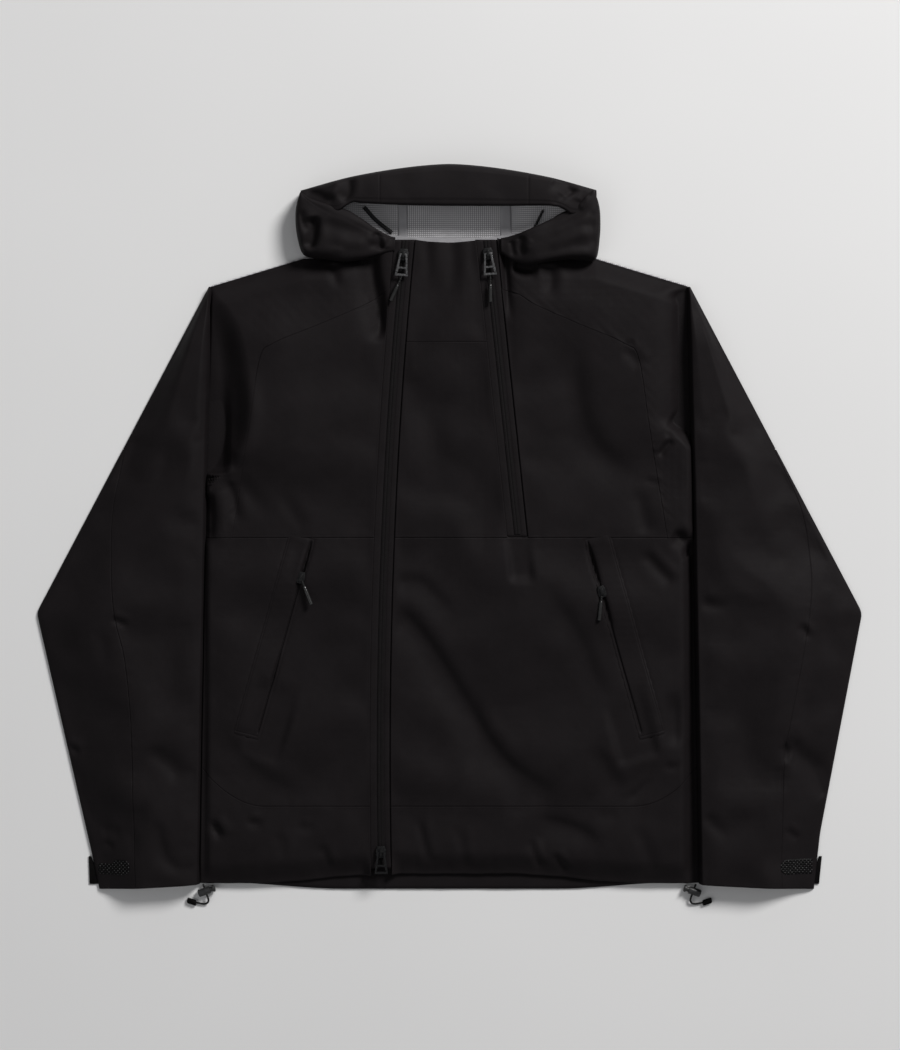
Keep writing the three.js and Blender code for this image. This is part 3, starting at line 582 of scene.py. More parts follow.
def body_cloth(x, y):
    """Height of the front's cloth."""
    free = near_zips(x, y)
    z = front_top(x, y)
    z = z + free * fold_sum(x, y, BODY_FOLDS)
    z = z + (0.25 + 0.75 * free) * (wrinkles(x, y, 11) + SLACK["body"](x, y))
    z = z + puckers(np.abs(y - CHEST_SEAM_Y), x, 21, 0.35) + puckers(np.abs(y - hem_seam_y(x)), x, 31, 0.3)
    z = z + puckers(np.abs(y - hem_end_y(x) - 14), x, 41, 0.8, 16.0, 15.0)
    down, out = pocket_frame(x, y)
    on_pocket = smooth(-8, 0, down) * smooth(POCKET_LENGTH + 8, POCKET_LENGTH, down)
    lip = bell(out, 2.6) * on_pocket
    z = z - np.clip(z - 15.2, 0, 9) * lip
    # Room for the pulls where their sliders stop.
    past = smooth(POCKET_LENGTH - 66, POCKET_LENGTH - 46, down)
    past = past * smooth(POCKET_LENGTH + 34, POCKET_LENGTH + 22, down)
    past = past * smooth(17, 9, out) * smooth(-36, -26, out)
    past_chest = smooth(-66, -52, y) * smooth(CHEST_SEAM_Y + 20, CHEST_SEAM_Y + 6, y)
    past_chest = past_chest * smooth(16, 8, np.abs(x - chest_zip_x(y)))
    z = z - np.clip(z - 15.4, 0, 9) * np.maximum(past, past_chest)
    # The mouth above the slider stands a little open.
    mouth = np.clip(np.sin(np.clip(down / 46, 0, 1) * math.pi), 0, 1) ** 0.7
    z = z - np.where(x > 0, 6.0, 2.0) * mouth * bell(out + 0.5, np.where(x > 0, 2.6, 1.6))
    z = z - np.where(x < 0, 2.6, 0) * mouth * bell(out - 11, 3.0)
    return np.maximum(z, 2.6)


def outer_x(side):
    """The sleeve's outer edge as a function of y, with its corners slightly rounded."""
    SPREAD = 4
    cuff = CUFFS[side]
    corners = [cuff["corner"], cuff["outer"], (ELBOW_X, ELBOW_Y), (SHOULDER_X + 3, SHOULDER_Y)]
    dense_y = np.linspace(corners[0][1], corners[-1][1], 500)
    x = table([(y, x) for x, y in corners])(dense_y)
    kernel = np.ones(2 * SPREAD + 1) / (2 * SPREAD + 1)
    rounded = np.convolve(np.pad(x, SPREAD, mode="edge"), kernel, mode="valid")
    rounded[:SPREAD + 1] = x[:SPREAD + 1]
    rounded[-SPREAD - 1:] = x[-SPREAD - 1:]
    return lambda y: np.interp(y, dense_y, rounded)


def sleeve_cloth(side):
    """Height of a sleeve's cloth as a function of x and y: full beside the body, falling outwards."""
    sign = SIDES[side]
    outer = outer_x(side)

    def height(x, y):
        ax = np.abs(x)
        u = (ax - inner_x(y)) / (outer(y) - inner_x(y))
        inner_edge = 17 if sign > 0 else 13
        rise = mix(inner_edge, 20.5, np.sqrt(smooth(-0.05, 0.16, u)))
        upper = smooth(SHOULDER_Y - 6, SHOULDER_Y - 70, y)
        z = mix(EDGE_TOP, rise, upper * (1 - smooth(0.5, 1, u)) + (1 - upper) * (1 - u) * 0.5)
        edge = outer(y) - ax
        z = z * np.sqrt(np.clip(1 - (1 - np.clip(edge / 9, 0, 1)) ** 2, 0.0, 1)) + 0.9
        shape = fold_sum(x, y, SLEEVE_FOLDS[side]) + wrinkles(x, y, 60 if sign > 0 else 90)
        shape = shape + SLACK[side](u, y)
        shape = shape * smooth(0, 8, edge) * smooth(-1, 6, ax - inner_x(y))
        return np.maximum(z + shape, np.minimum(z, 2.6))

    return height


# ---------------------------------------------------------------- meshes

# Distances of the first grid lines from an edge, where the cloth curves most.
EDGE_STEPS = np.array([0, 0.35, 0.9, 1.6, 2.4, 3.2, 4.4])


def places(width, index, total, middle):
    """Distance from the first edge of each grid line: lines stand close together near both edges."""
    last = len(EDGE_STEPS) - 1
    scale = np.minimum(1, width / (3 * EDGE_STEPS[-1]))
    low = EDGE_STEPS[np.minimum(index, last)] * scale
    high = width - EDGE_STEPS[np.minimum(total - 1 - index, last)] * scale
    rim = EDGE_STEPS[-1] * scale
    inner = rim + (width - 2 * rim) * (index - last) / middle
    return np.where(index <= last, low, np.where(index >= total - 1 - last, high, inner))


def patch(left, right, bottom, top, step, inset=GAP / 2):
    """Grid between x edges that are functions of y and y edges that are functions of x."""
    y0 = float(bottom(0.0))
    y1 = float(top(0.0))
    ys = np.linspace(y0, y1, 40)
    middle_x = max(3, int(float(np.max(right(ys) - left(ys))) / step))
    middle_y = max(3, int(abs(y1 - y0) / step))
    nx = middle_x + 2 * len(EDGE_STEPS) - 1
    ny = middle_y + 2 * len(EDGE_STEPS) - 1
    i, j = np.meshgrid(np.arange(ny), np.arange(nx), indexing="ij")
    y = mix(y0, y1, i / (ny - 1.0))
    for _ in range(6):
        x = left(y) + inset + places(right(y) - left(y) - 2 * inset, j, nx, middle_x)
        y = bottom(x) + inset + places(top(x) - bottom(x) - 2 * inset, i, ny, middle_y)
    return x, y


def build_mesh(name, points, faces, face_slots, materials):
    """A smooth shaded object from points in millimetres, whose faces all have as many corners."""
    mesh = bpy.data.meshes.new(name)
    mesh.vertices.add(len(points))
    mesh.vertices.foreach_set("co", (np.asarray(points) * MM).astype(np.float32).reshape(-1))
    faces = np.asarray(faces)
    mesh.loops.add(faces.size)
    mesh.loops.foreach_set("vertex_index", faces.reshape(-1).astype(np.int32))
    mesh.polygons.add(len(faces))
    mesh.polygons.foreach_set("loop_start", np.arange(0, faces.size, faces.shape[1], dtype=np.int32))
    mesh.polygons.foreach_set("use_smooth", np.full(len(faces), True))
    mesh.polygons.foreach_set("material_index", np.asarray(face_slots, dtype=np.int32))
    mesh.update(calc_edges=True)
    mesh.validate()
    for material in materials:
        mesh.materials.append(material)
    return link(name, mesh)


def normals_of(grid):
    across = np.gradient(grid, axis=1)
    along = np.gradient(grid, axis=0)
    n = np.cross(across, along)
    n /= np.maximum(np.linalg.norm(n, axis=-1, keepdims=True), 1e-9)
    return n


def slab(name, grid, outside, inside, thickness=CLOTH, flip=False, straight=False):
    """Closed sheet of cloth: the grid is its outer face, and the inner face lies behind it, or
    straight below it. flip is for a grid whose own face points down."""
    rows, columns = grid.shape[:2]
    if straight:
        under = grid - np.array([0, 0, thickness])
    else:
        under = grid - normals_of(grid) * (-thickness if flip else thickness)
    points = np.concatenate([grid.reshape(-1, 3), under.reshape(-1, 3)])
    index = np.arange(rows * columns).reshape(rows, columns)
    low = index + rows * columns
    upper = quads(index)
    # The same diagonal splits the faces above and below each other.
    lower = upper[:, [0, 3, 2, 1]] + rows * columns
    rim = []
    for line, line_low in ((index[0], low[0]), (index[:, -1], low[:, -1]),
                           (index[-1, ::-1], low[-1, ::-1]), (index[::-1, 0], low[::-1, 0])):
        rim.append(np.stack([line[:-1], line_low[:-1], line_low[1:], line[1:]], -1))
    rim = np.concatenate(rim)
    faces = np.concatenate([upper, lower, rim])
    if flip:
        faces = faces[:, ::-1]
    # A rim is never lining.
    rim_slot = 1 if outside == "lining" else 0
    slots = np.concatenate([np.zeros(len(upper)), np.ones(len(lower)), np.full(len(rim), rim_slot)])
    return build_mesh(name, points, faces, slots, [MATERIALS[outside], MATERIALS[inside]])


def cloth_sheet(grid):
    """Works out the areas of a panel's grid cells, which nothing uses."""
    across = grid[:, 1:] - grid[:, :-1]
    along = grid[1:] - grid[:-1]
    cells = np.linalg.norm(np.cross(across[:-1], along[:, :-1]), axis=2) / 2
    cells = cells + np.linalg.norm(np.cross(across[1:], along[:, 1:]), axis=2) / 2


def settle(obj, body, slot, *nodes):
    """Puts a piece on a body in place of its CAD nodes. slot is not used."""
    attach(obj, body)
    if nodes:
        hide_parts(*nodes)
    return obj


def edge_profile(distance, style):
    """How a panel's edge stands at a seam: it laps over, tucks under, or turns round a hem."""
    if style == "over":
        edge = 0.3 * np.exp(-distance / 5) - 0.35 * np.clip(1 - distance / 0.7, 0, 1) ** 2
        return edge - 0.08 * bell(distance - 2.4, 0.6)
    if style == "hem":
        ROUND = 1.6
        return -ROUND * (1 - np.sqrt(np.clip(1 - (1 - np.clip(distance / ROUND, 0, 1)) ** 2, 0, 1)))
    drop = {"under": -0.7, "tuck": -0.3}[style]
    return drop * smooth(LAP + 0.8, LAP - 0.1, distance)


def sew(x, y, z, styles):
    """Adds the edge profiles of a panel: styles are for its left, right, bottom and top edges."""
    left = x - x[:, :1]
    right = x[:, -1:] - x
    bottom = y - y[:1]
    top = y[-1:] - y
    for distance, style in zip((left, right, bottom, top), styles):
        if style:
            z = z + edge_profile(np.abs(distance), style)
    return z


def flat(value):
    """A straight edge, as a function that always gives the same value."""
    return lambda v: np.asarray(v) * 0 + value


def lapped(edge, far):
    """An edge moved outwards so that the panel reaches under its neighbour."""
    return lambda v: edge(v) + far


def face_up(grid, sign):
    """Turns the columns of a mirrored grid round, so that its face points up again."""
    return grid[:, ::-1] if sign < 0 else grid


def shell_sheet(name, grid, *nodes, outside="shell", inside="lining", flip=False):
    """A fixed panel of the shell, put on the jacket in place of its CAD nodes."""
    obj = slab(name, grid, outside, inside, flip=flip, straight=True)
    settle(obj, "jacket", "shell", *nodes)
    cloth_sheet(grid)


def panel(name, node, edges, height, styles, sign=1):
    """A cloth panel over a patch, in place of the CAD node. sign -1 mirrors the patch's outline."""
    outward = (-LAP, LAP, -LAP, LAP)
    edges = [lapped(edge, far) if style in ("under", "tuck") else edge
             for edge, style, far in zip(edges, styles, outward)]
    x, y = patch(*edges, step=3.4, inset=0.02)
    x = x * sign
    if sign < 0:
        x = x[:, ::-1]
        y = y[:, ::-1]
        styles = (styles[1], styles[0], styles[2], styles[3])
    z = np.maximum(sew(x, y, height(x, y), styles), FRONT_FLOOR)
    shell_sheet(name, np.stack([x, y, z], -1), node)


# ---------------------------------------------------------------- materials


class Nodes:
    """Short hand for building a node material."""

    def __init__(self, name):
        self.material = bpy.data.materials.new(name)
        self.material.use_nodes = True
        self.tree = self.material.node_tree
        self.shader = self.tree.nodes["Principled BSDF"]
        self.place = self.tree.nodes.new("ShaderNodeTexCoord").outputs["Object"]

    def new(self, kind, inputs=None, **settings):
        node = self.tree.nodes.new(kind)
        for key, value in settings.items():
            setattr(node, key, value)
        for key, value in (inputs or {}).items():
            self.set(node, key, value)
        return node

    def set(self, node, key, value):
        if isinstance(value, bpy.types.NodeSocket):
            self.tree.links.new(value, node.inputs[key])
        else:
            node.inputs[key].default_value = value

    def math(self, operation, a, b=0.0):
        return self.new("ShaderNodeMath", {0: a, 1: b}, operation=operation).outputs[0]

    def noise(self, scale, detail=3.0, rough=0.55):
        inputs = {"Scale": scale, "Detail": detail, "Roughness": rough, "Vector": self.place}
        return self.new("ShaderNodeTexNoise", inputs).outputs["Fac"]

    def bands(self, pitch, direction):
        """Waves from 0 to 1 along an axis, one in each pitch metres."""
        axis = self.new("ShaderNodeSeparateXYZ", {0: self.place}).outputs[direction]
        return self.half_wave(self.math("MULTIPLY", axis, 2 * math.pi / pitch))

    def half_wave(self, turn):
        wave = self.math("SINE", turn)
        return self.math("ADD", self.math("MULTIPLY", wave, 0.5), 0.5)

    def checks(self, pitch):
        """Bumps in rows and columns, pitch metres apart."""
        return self.math("MULTIPLY", self.bands(pitch, 0), self.bands(pitch, 1))

    def diamonds(self, turns):
        """Bumps where two sets of diagonal waves crest, turns radians to a metre along x."""
        axis = self.new("ShaderNodeSeparateXYZ", {0: self.place})
        slant = self.math("ADD", axis.outputs[0], axis.outputs[1])
        other = self.math("SUBTRACT", axis.outputs[0], axis.outputs[1])
        return self.math("MULTIPLY", self.half_wave(self.math("MULTIPLY", slant, turns)),
                         self.half_wave(self.math("MULTIPLY", other, turns)))

    def ramp(self, value, low, high, position_low=0.0, position_high=1.0):
        node = self.new("ShaderNodeValToRGB", {0: value})
        node.color_ramp.elements[0].position = position_low
        node.color_ramp.elements[0].color = (*low, 1)
        node.color_ramp.elements[1].position = position_high
        node.color_ramp.elements[1].color = (*high, 1)
        return node.outputs[0]

    def bump(self, height, strength, distance, under=None):
        inputs = {"Height": height, "Strength": strength, "Distance": distance}
        node = self.new("ShaderNodeBump", inputs)
        if under is not None:
            self.tree.links.new(under, node.inputs["Normal"])
        return node.outputs[0]

    def finish(self, color, roughness, specular, metallic=0.0, normal=None, coat=0.0):
        self.set(self.shader, "Base Color", color if not isinstance(color, tuple) else (*color, 1))
        self.set(self.shader, "Roughness", roughness)
        self.set(self.shader, "Metallic", metallic)
        self.set(self.shader, "Specular IOR Level", specular)
        if coat:
            self.set(self.shader, "Coat Weight", coat)
            self.set(self.shader, "Coat Roughness", 0.25)
        if normal is not None:
            self.set(self.shader, "Normal", normal)
        return self.material


def weave(n, pitch, strength):
    """Normals of a fine woven face with slight unevenness."""
    height = n.math("ADD", n.checks(pitch), n.math("MULTIPLY", n.noise(1800, 2), 0.6))
    soft = n.bump(n.noise(150, 4, 0.6), 0.25, 0.0006)
    return n.bump(height, strength, 0.0002, soft)


def shell_material(name, dark, light):
    n = Nodes(name)
    broad = n.math("MULTIPLY", n.noise(26, 5, 0.6), 0.7)
    tone = n.math("ADD", broad, n.math("MULTIPLY", n.noise(900, 2), 0.3))
    color = n.ramp(tone, dark, light, 0.3, 0.72)
    rough = n.math("ADD", n.math("MULTIPLY", n.noise(60, 3), 0.16), 0.5)
    return n.finish(color, rough, specular=0.05, normal=weave(n, 0.0007, 0.35))


def lining_material():
    n = Nodes("lining")
    PITCH = 0.0022
    cell = n.checks(PITCH)
    shade = n.math("ADD", cell, n.math("MULTIPLY", n.noise(70, 3), 0.12))
    color = n.ramp(shade, (0.25, 0.245, 0.255), (0.74, 0.73, 0.75), 0.02, 0.6)
    normal = n.bump(cell, 0.3, 0.0002)
    return n.finish(color, 0.62, specular=0.3, normal=normal)


def plain_cloth_material(name, dark, light, scale, rough):
    n = Nodes(name)
    color = n.ramp(n.noise(scale, 4), dark, light, 0.3, 0.7)
    return n.finish(color, rough, specular=0.25, normal=n.bump(n.noise(scale * 12, 2), 0.2, 0.0002))


def coil_material():
    n = Nodes("coil")
    color = n.ramp(n.noise(300, 3), (0.004, 0.0035, 0.0037), (0.008, 0.007, 0.0074))
    return n.finish(color, 0.6, specular=0.06, normal=n.bump(n.noise(900, 2), 0.2, 0.0001))


def metal_material(name, dark, light, rough):
    n = Nodes(name)
    worn = n.noise(420, 4, 0.7)
    color = n.ramp(worn, dark, light, 0.35, 0.75)
    roughness = n.math("ADD", n.math("MULTIPLY", n.noise(700, 3), 0.2), rough)
    normal = n.bump(n.noise(1500, 2), 0.1, 0.0001)
    return n.finish(color, roughness, specular=0.5, metallic=0.85, normal=normal)


def moulded_material(name, dark, light, rough, gloss=0.3, coat=0.0):
    n = Nodes(name)
    color = n.ramp(n.noise(220, 3), dark, light, 0.3, 0.7)
    return n.finish(color, rough, specular=gloss, normal=n.bump(n.noise(1400, 2), 0.12, 0.0001), coat=coat)


# Distance between the hook patches' diagonal rows, measured along x.
HOOK_PITCH = 2.1


def hook_material():
    """Dark moulded plastic whose hook tips catch the light: paler where both diagonals crest."""
    n = Nodes("hook")
    tips = n.math("MULTIPLY", n.diamonds(math.pi / (HOOK_PITCH * MM)), n.noise(320, 3, 0.6))
    color = n.ramp(tips, (0.0012, 0.0011, 0.0012), (0.12, 0.117, 0.118), 0.28, 0.75)
    return n.finish(color, 0.5, specular=0.08, normal=n.bump(tips, 0.4, 0.0004))


def cord_material():
    n = Nodes("cord")
    BRAID_TURNS = 7500.0
    braid = n.diamonds(BRAID_TURNS)
    color = n.ramp(braid, (0.005, 0.005, 0.005), (0.018, 0.018, 0.018))
    return n.finish(color, 0.75, specular=0.25, normal=n.bump(braid, 0.5, 0.0003))


MATERIALS = {
    "shell": shell_material("shell", (0.0072, 0.0060, 0.0065), (0.0104, 0.0088, 0.0095)),
    # The hood's copy of the shell is lighter: painted light, where the raised hood catches more of the key.
    "hood_shell": shell_material("hood_shell", (0.0088, 0.0075, 0.0080), (0.0122, 0.0106, 0.0113)),
    "lining": lining_material(),
    "tape": plain_cloth_material("seam_tape", (0.34, 0.335, 0.35), (0.42, 0.415, 0.43), 60, 0.5),
    # Dark grey cloth for the strips of painted shadow in the hood's opening.
    "painted_shadow": plain_cloth_material("dark_painted_shadow", (0.020, 0.0195, 0.020), (0.035, 0.034, 0.035), 90, 0.6),
    "zip_tape": shell_material("zip_tape", (0.0074, 0.0062, 0.0067), (0.0108, 0.0092, 0.0099)),
    "coil": coil_material(),
    "metal": metal_material("gunmetal", (0.010, 0.010, 0.0105), (0.035, 0.035, 0.036), 0.3),
    "bright_metal": metal_material("worn_gunmetal", (0.05, 0.05, 0.051), (0.28, 0.28, 0.285), 0.2),
    "rubber": moulded_material("pull_rubber", (0.006, 0.006, 0.006), (0.014, 0.014, 0.014), 0.32, 0.45, 0.1),
    "tab": moulded_material("cuff_tab", (0.0022, 0.002, 0.002), (0.004, 0.0036, 0.0038), 0.6, 0.04),
    "cord": cord_material(),
    "hook": hook_material(),
    "plastic": moulded_material("lock_plastic", (0.012, 0.012, 0.0122), (0.032, 0.032, 0.033), 0.35, 0.35),
    "dark_plastic": moulded_material("lock_button", (0.012, 0.012, 0.012), (0.03, 0.03, 0.03), 0.4),
    "steel": metal_material("spring_steel", (0.4, 0.4, 0.41), (0.6, 0.6, 0.61), 0.2),
}

# ---------------------------------------------------------------- hem cords

TAIL_ROUTE = [(274.8, -398.6, 4.6), (273.4, -402.5, 4.6), (272, -406.5, 4.6), (270.6, -410.4, 4.6),
              (269.3, -414, 4.6), (268.9, -417.4, 3.6), (270.6, -420.2, 2.2), (274.2, -421.2, 1.3),
              (278.6, -420.6, 1.2), (283, -419.6, 1.2)]
CORD_DIAMETER = 2.2


def cord_along(name, points):
    data = bpy.data.curves.new(name, "CURVE")
    data.dimensions = "3D"
    spline = data.splines.new("POLY")
    spline.points.add(len(points) - 1)
    for target, p in zip(spline.points, points):
        target.co = (p[0] * MM, p[1] * MM, p[2] * MM, 1)
    data.bevel_depth = CORD_DIAMETER / 2 * MM
    data.bevel_resolution = 4
    data.use_fill_caps = True
    data.materials.append(MATERIALS["cord"])
    return link(name, data)


def refined(node, body, material, slot, bevel, spread=0.0, reach=0.0, swell=None):
    """A copy of a CAD piece with its sharp edges rounded, in the piece's place. spread widens a pull
    tab towards its free end, as a share of its width. reach moves the side nearest the middle of the
    jacket inwards. swell scales the piece about its centre."""
    bm = bmesh.new()
    bm.from_mesh(frame["nodes"][node].data)
    bmesh.ops.remove_doubles(bm, verts=bm.verts, dist=1e-6)
    bmesh.ops.dissolve_limit(bm, angle_limit=math.radians(1.0), verts=bm.verts, edges=bm.edges)
    sharp = [e for e in bm.edges if len(e.link_faces) == 2 and e.calc_face_angle(0) > math.radians(35)]
    if bevel:
        bmesh.ops.bevel(bm, geom=sharp, offset=bevel * MM, segments=2, profile=0.6, affect="EDGES",
                        clamp_overlap=True)
    low, high = (np.array(corner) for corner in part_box(node))
    if reach:
        for vertex in bm.verts:
            if abs(vertex.co.x) < abs(low[0] + high[0]) / 2:
                vertex.co.x -= math.copysign(reach * MM, vertex.co.x)
    if swell:
        for vertex in bm.verts:
            for axis in range(3):
                middle = (low[axis] + high[axis]) / 2
                vertex.co[axis] = middle + (vertex.co[axis] - middle) * swell[axis]
    if spread:
        middle = (low[0] + high[0]) / 2
        for vertex in bm.verts:
            share = (high[1] - vertex.co.y) / (high[1] - low[1])
            vertex.co.x = middle + (vertex.co.x - middle) * (1 + spread * share)
    mesh = bpy.data.meshes.new(node + "_piece")
    bm.to_mesh(mesh)
    bm.free()
    mesh.materials.append(MATERIALS[material])
    obj = link(mesh.name, mesh)
    for polygon in mesh.polygons:
        polygon.use_smooth = True
    mesh.set_sharp_from_angle(angle=math.radians(32))
    return settle(obj, body, slot, node)


def joint_named(name):
    for joint in frame["joints"]:
        if joint["name"] == name:
            return joint
    raise ValueError(name)


def build_hem_cords():
    """Each free end of the drawcord, with its lock and its moulded tip."""
    for side, sign in SIDES.items():
        route = curve([(x * sign, y, z) for x, y, z in TAIL_ROUTE], 40)
        tail = cord_along(f"hem_cord_{side}", route)
        settle(tail, "jacket", "cord", f"hem_cord_tail_{side}")
        tip = refined(f"hem_cord_tip_{side}", "jacket", "tab", "pull_rubber", 0.3, swell=(1.15, 1.9, 1.3))
        lock = f"cord_lock_{side}"
        barrel = refined(f"cord_lock_barrel_{side}", lock, "plastic", "lock_plastic", 0.2)
        plunger = refined(f"cord_lock_plunger_{side}", f"cord_lock_button_{side}", "dark_plastic",
                          "lock_plastic", 0.2)
        spring = refined(f"cord_lock_spring_{side}", lock, "steel", "spring_steel", 0)
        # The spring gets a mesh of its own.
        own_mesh(spring)


build_hem_cords()

# ---------------------------------------------------------------- body panels

# Points along the yoke's seam and its outer edge.
YOKE_STEPS = 320


def zip_edge(which, side):
    """The edge of a front zip's opening as a function of y."""
    centre = main_zip_x if which == "main" else chest_zip_x
    return lambda y: centre(y) + side * ZIP_HALF


def build_front():
    """Bib and chin between the zips, and on each side the chest, yoke, lower front and hem band."""
    bib_edges = (zip_edge("main", 1), zip_edge("chest", -1), flat(CHEST_SEAM_Y), flat(CHIN_SEAM_Y))
    panel("bib", "bib_panel", bib_edges, body_cloth, ("over", "over", "over", "over"))

    def chin_top(x):
        return 316.2 + 5.5 * (np.clip(np.abs(x + 2), 0, 62) / 50) ** 2

    chin_edges = (zip_edge("main", 1), zip_edge("chest", -1), flat(CHIN_SEAM_Y), chin_top)
    panel("chin", "chin_panel", chin_edges, body_cloth, ("over", "over", "under", "hem"))

    for side, sign in SIDES.items():
        if sign > 0:
            inner = zip_edge("chest", 1)
            low_inner = zip_edge("main", 1)
        else:
            inner = lambda y: -zip_edge("main", -1)(y)
            low_inner = inner
        outer = lambda y: side_x(y) - 0.4
        seam = curve([(float(inner(264.0)) + 0.4, 264)] + YOKE_SEAM[:-1] + [(242, -12.5)], YOKE_STEPS)
        upper = seam[:168]

        def below_yoke(x, y):
            """The chest's cloth, lower where it lies under the yoke's upper seam."""
            reach = y - np.interp(np.abs(x), upper[:, 0], upper[:, 1], right=400)
            return body_cloth(x, y) - 1.7 * smooth(-0.3, 1.2, reach)

        chest_edges = (inner, yoke_x, flat(CHEST_SEAM_Y), flat(265.5))
        panel(f"chest_{side}", f"chest_panel_{side}", chest_edges, below_yoke,
              ("over", "tuck", "over", None), sign)
        build_yoke(side, sign, inner, seam)
        lower_edges = (low_inner, outer, hem_seam_y, flat(CHEST_SEAM_Y))
        build_lower(side, sign, lower_edges)
        hem_edges = (low_inner, outer, hem_end_y, hem_seam_y)
        panel(f"front_hem_{side}_panel", f"front_hem_{side}", hem_edges, body_cloth,
              ("over", None, "hem", "over"), sign)


def build_yoke(side, sign, inner, seam):
    """From the armhole seam out to the shoulder and to the fold under the sleeve."""
    zip_x = float(inner(320.0)) + 0.4
    corners = np.array([(zip_x, 320.5), (zip_x + 14, 318), (96, 304), (112, NECK_Y), (NECK_X, NECK_Y),
                        (SHOULDER_X, SHOULDER_Y), (269.5, 187), (271.5, 118), (272.6, 63), (273.8, -12.5)])
    run = run_along(corners)
    at = np.linspace(0, run[-1], YOKE_STEPS)
    outer = np.stack([np.interp(at, run, corners[:, 0]), np.interp(at, run, corners[:, 1])], 1)
    across = np.concatenate([[0, 0.006, 0.014, 0.03, 0.05], np.linspace(0.08, 1, 44)])
    x = mix(seam[:, :1], outer[:, :1], across)
    y = mix(seam[:, 1:], outer[:, 1:], across)
    distance = np.hypot(x - x[:, :1], y - y[:, :1])
    shown = 1.0 if sign > 0 else 0.1 + 0.9 * smooth(80, 40, y)
    z = body_cloth(x * sign, y) + shown * (edge_profile(distance, "over") + puckers(distance, x + y, 51, 0.3))
    grid = face_up(np.stack([x * sign, y, z], -1), sign)
    shell_sheet(f"yoke_{side}", grid, f"yoke_panel_{side}", flip=True)


def pocket_points(down, out, sign):
    """x and y of the points down a pocket's zip line and outwards from it."""
    run = (POCKET_END - POCKET_TOP) / POCKET_LENGTH
    x = POCKET_TOP[0] + run[0] * down - run[1] * out
    y = POCKET_TOP[1] + run[1] * down + run[0] * out
    return x * sign, y


def build_lower(side, sign, edges):
    """Lower front, sunk where the welt lies on it, with the pocket's welt and its bag."""
    BAG_DEPTH = 9.5
    left, right, bottom, top = edges
    x, y = patch(left, right, lapped(bottom, -LAP), lapped(top, LAP), step=3.1, inset=0.02)
    down, out = pocket_frame(x, y)
    under_welt = smooth(-8, -5, down) * smooth(POCKET_LENGTH + 9, POCKET_LENGTH + 6, down)
    under_welt = under_welt * smooth(-4.2, -1.5, out) * smooth(26.5, 24.5, out)
    z = body_cloth(x * sign, y) - 1.1 * under_welt
    z = sew(x, y, z, (None, None, "under", "under"))
    z = np.maximum(z + edge_profile(np.abs(x - left(y)), "over"), FRONT_FLOOR)
    grid = face_up(np.stack([x * sign, y, z], -1), sign)
    shell_sheet(f"lower_{side}", grid, f"lower_panel_{side}", f"pocket_welt_{side}")

    build_welt(side, sign)
    x, y = patch(flat(112.0), flat(226.0), flat(-256.0), flat(-24.0), step=9)
    z = np.maximum(body_cloth(x * sign, y) - BAG_DEPTH, 3.4)
    grid = face_up(np.stack([x * sign, y, z], -1), sign)
    bag = slab(f"pocket_{side}_bag", grid, "tape", "tape", 0.6)
    settle(bag, "jacket", "lining", f"pocket_bag_{side}")


def build_welt(side, sign):
    """The welt beside the pocket's zip line, with its stitched outer edge and end, and the zip's coil."""
    length = POCKET_LENGTH
    across = np.array([-4.6, -3.6, -2.6, -1.8, -1.2, -0.8, -0.4, 0, 0.4, 0.8, 1.2, 1.8, 2.6, 4, 7, 12,
                       17, 20, 22, 22.8, 23.3, 23.7, 24.1, 24.6, 25.2, 26.2, 27.4])
    along = np.concatenate([np.linspace(-7.4, -4, 4), np.linspace(-2.6, length + 1, 160),
                            length + np.array([2, 2.8, 3.4, 3.9, 4.4, 5, 6, 7.4, 8.8])])
    out, down = np.meshgrid(across, along)
    px, py = pocket_points(down, out, sign)
    closed = smooth(-6, 0, down) * smooth(length + 2, length - 3, down)
    wide = mix(0.85, 1.5, smooth(140, 200, down)) if sign > 0 else 0.7
    groove = 1.9 * closed * bell(out, wide)
    seam = 0.45 * smooth(-6, 0, down) * smooth(length + 5, length + 3, down) * bell(out - 23.8, 0.6)
    end = 0.4 * bell(down - length - 4, 0.7) * smooth(-3, 0, out) * smooth(26, 24, out)
    inside = smooth(-7.4, -4.5, down) * smooth(length + 8.8, length + 5.6, down)
    inside = inside * smooth(-4.6, -2.4, out) * smooth(27.4, 24.8, out)
    lifted = 0.35 * smooth(-0.5, 1.5, out) * smooth(25.5, 23.8, out) * closed
    z = body_cloth(px, py) - 0.8 + 1.0 * inside + lifted - groove - seam - end
    grid = np.stack([px, py, z], -1)
    welt = slab(f"pocket_{side}_welt", grid, "shell", "shell", 0.4, flip=sign > 0)
    settle(welt, "jacket", "shell")
    build_pocket_coil(side, sign)


def build_pocket_coil(side, sign):
    HALF = 1.4
    PITCH = 2.8
    along = np.linspace(3, POCKET_LENGTH - 1, int(POCKET_LENGTH / HALF))
    down, out = np.meshgrid(along, np.linspace(-HALF, HALF, 5), indexing="ij")
    px, py = pocket_points(down, out, sign)
    z = body_cloth(px, py) - 1.5 + 0.3 * np.cos(out) + 0.15 * np.sin(down * 2 * math.pi / PITCH)
    coil = slab(f"pocket_zip_{side}_coil", np.stack([px, py, z], -1), "coil", "coil", 0.4, flip=sign > 0)
    settle(coil, "jacket", "zip", f"pocket_zip_{side}")


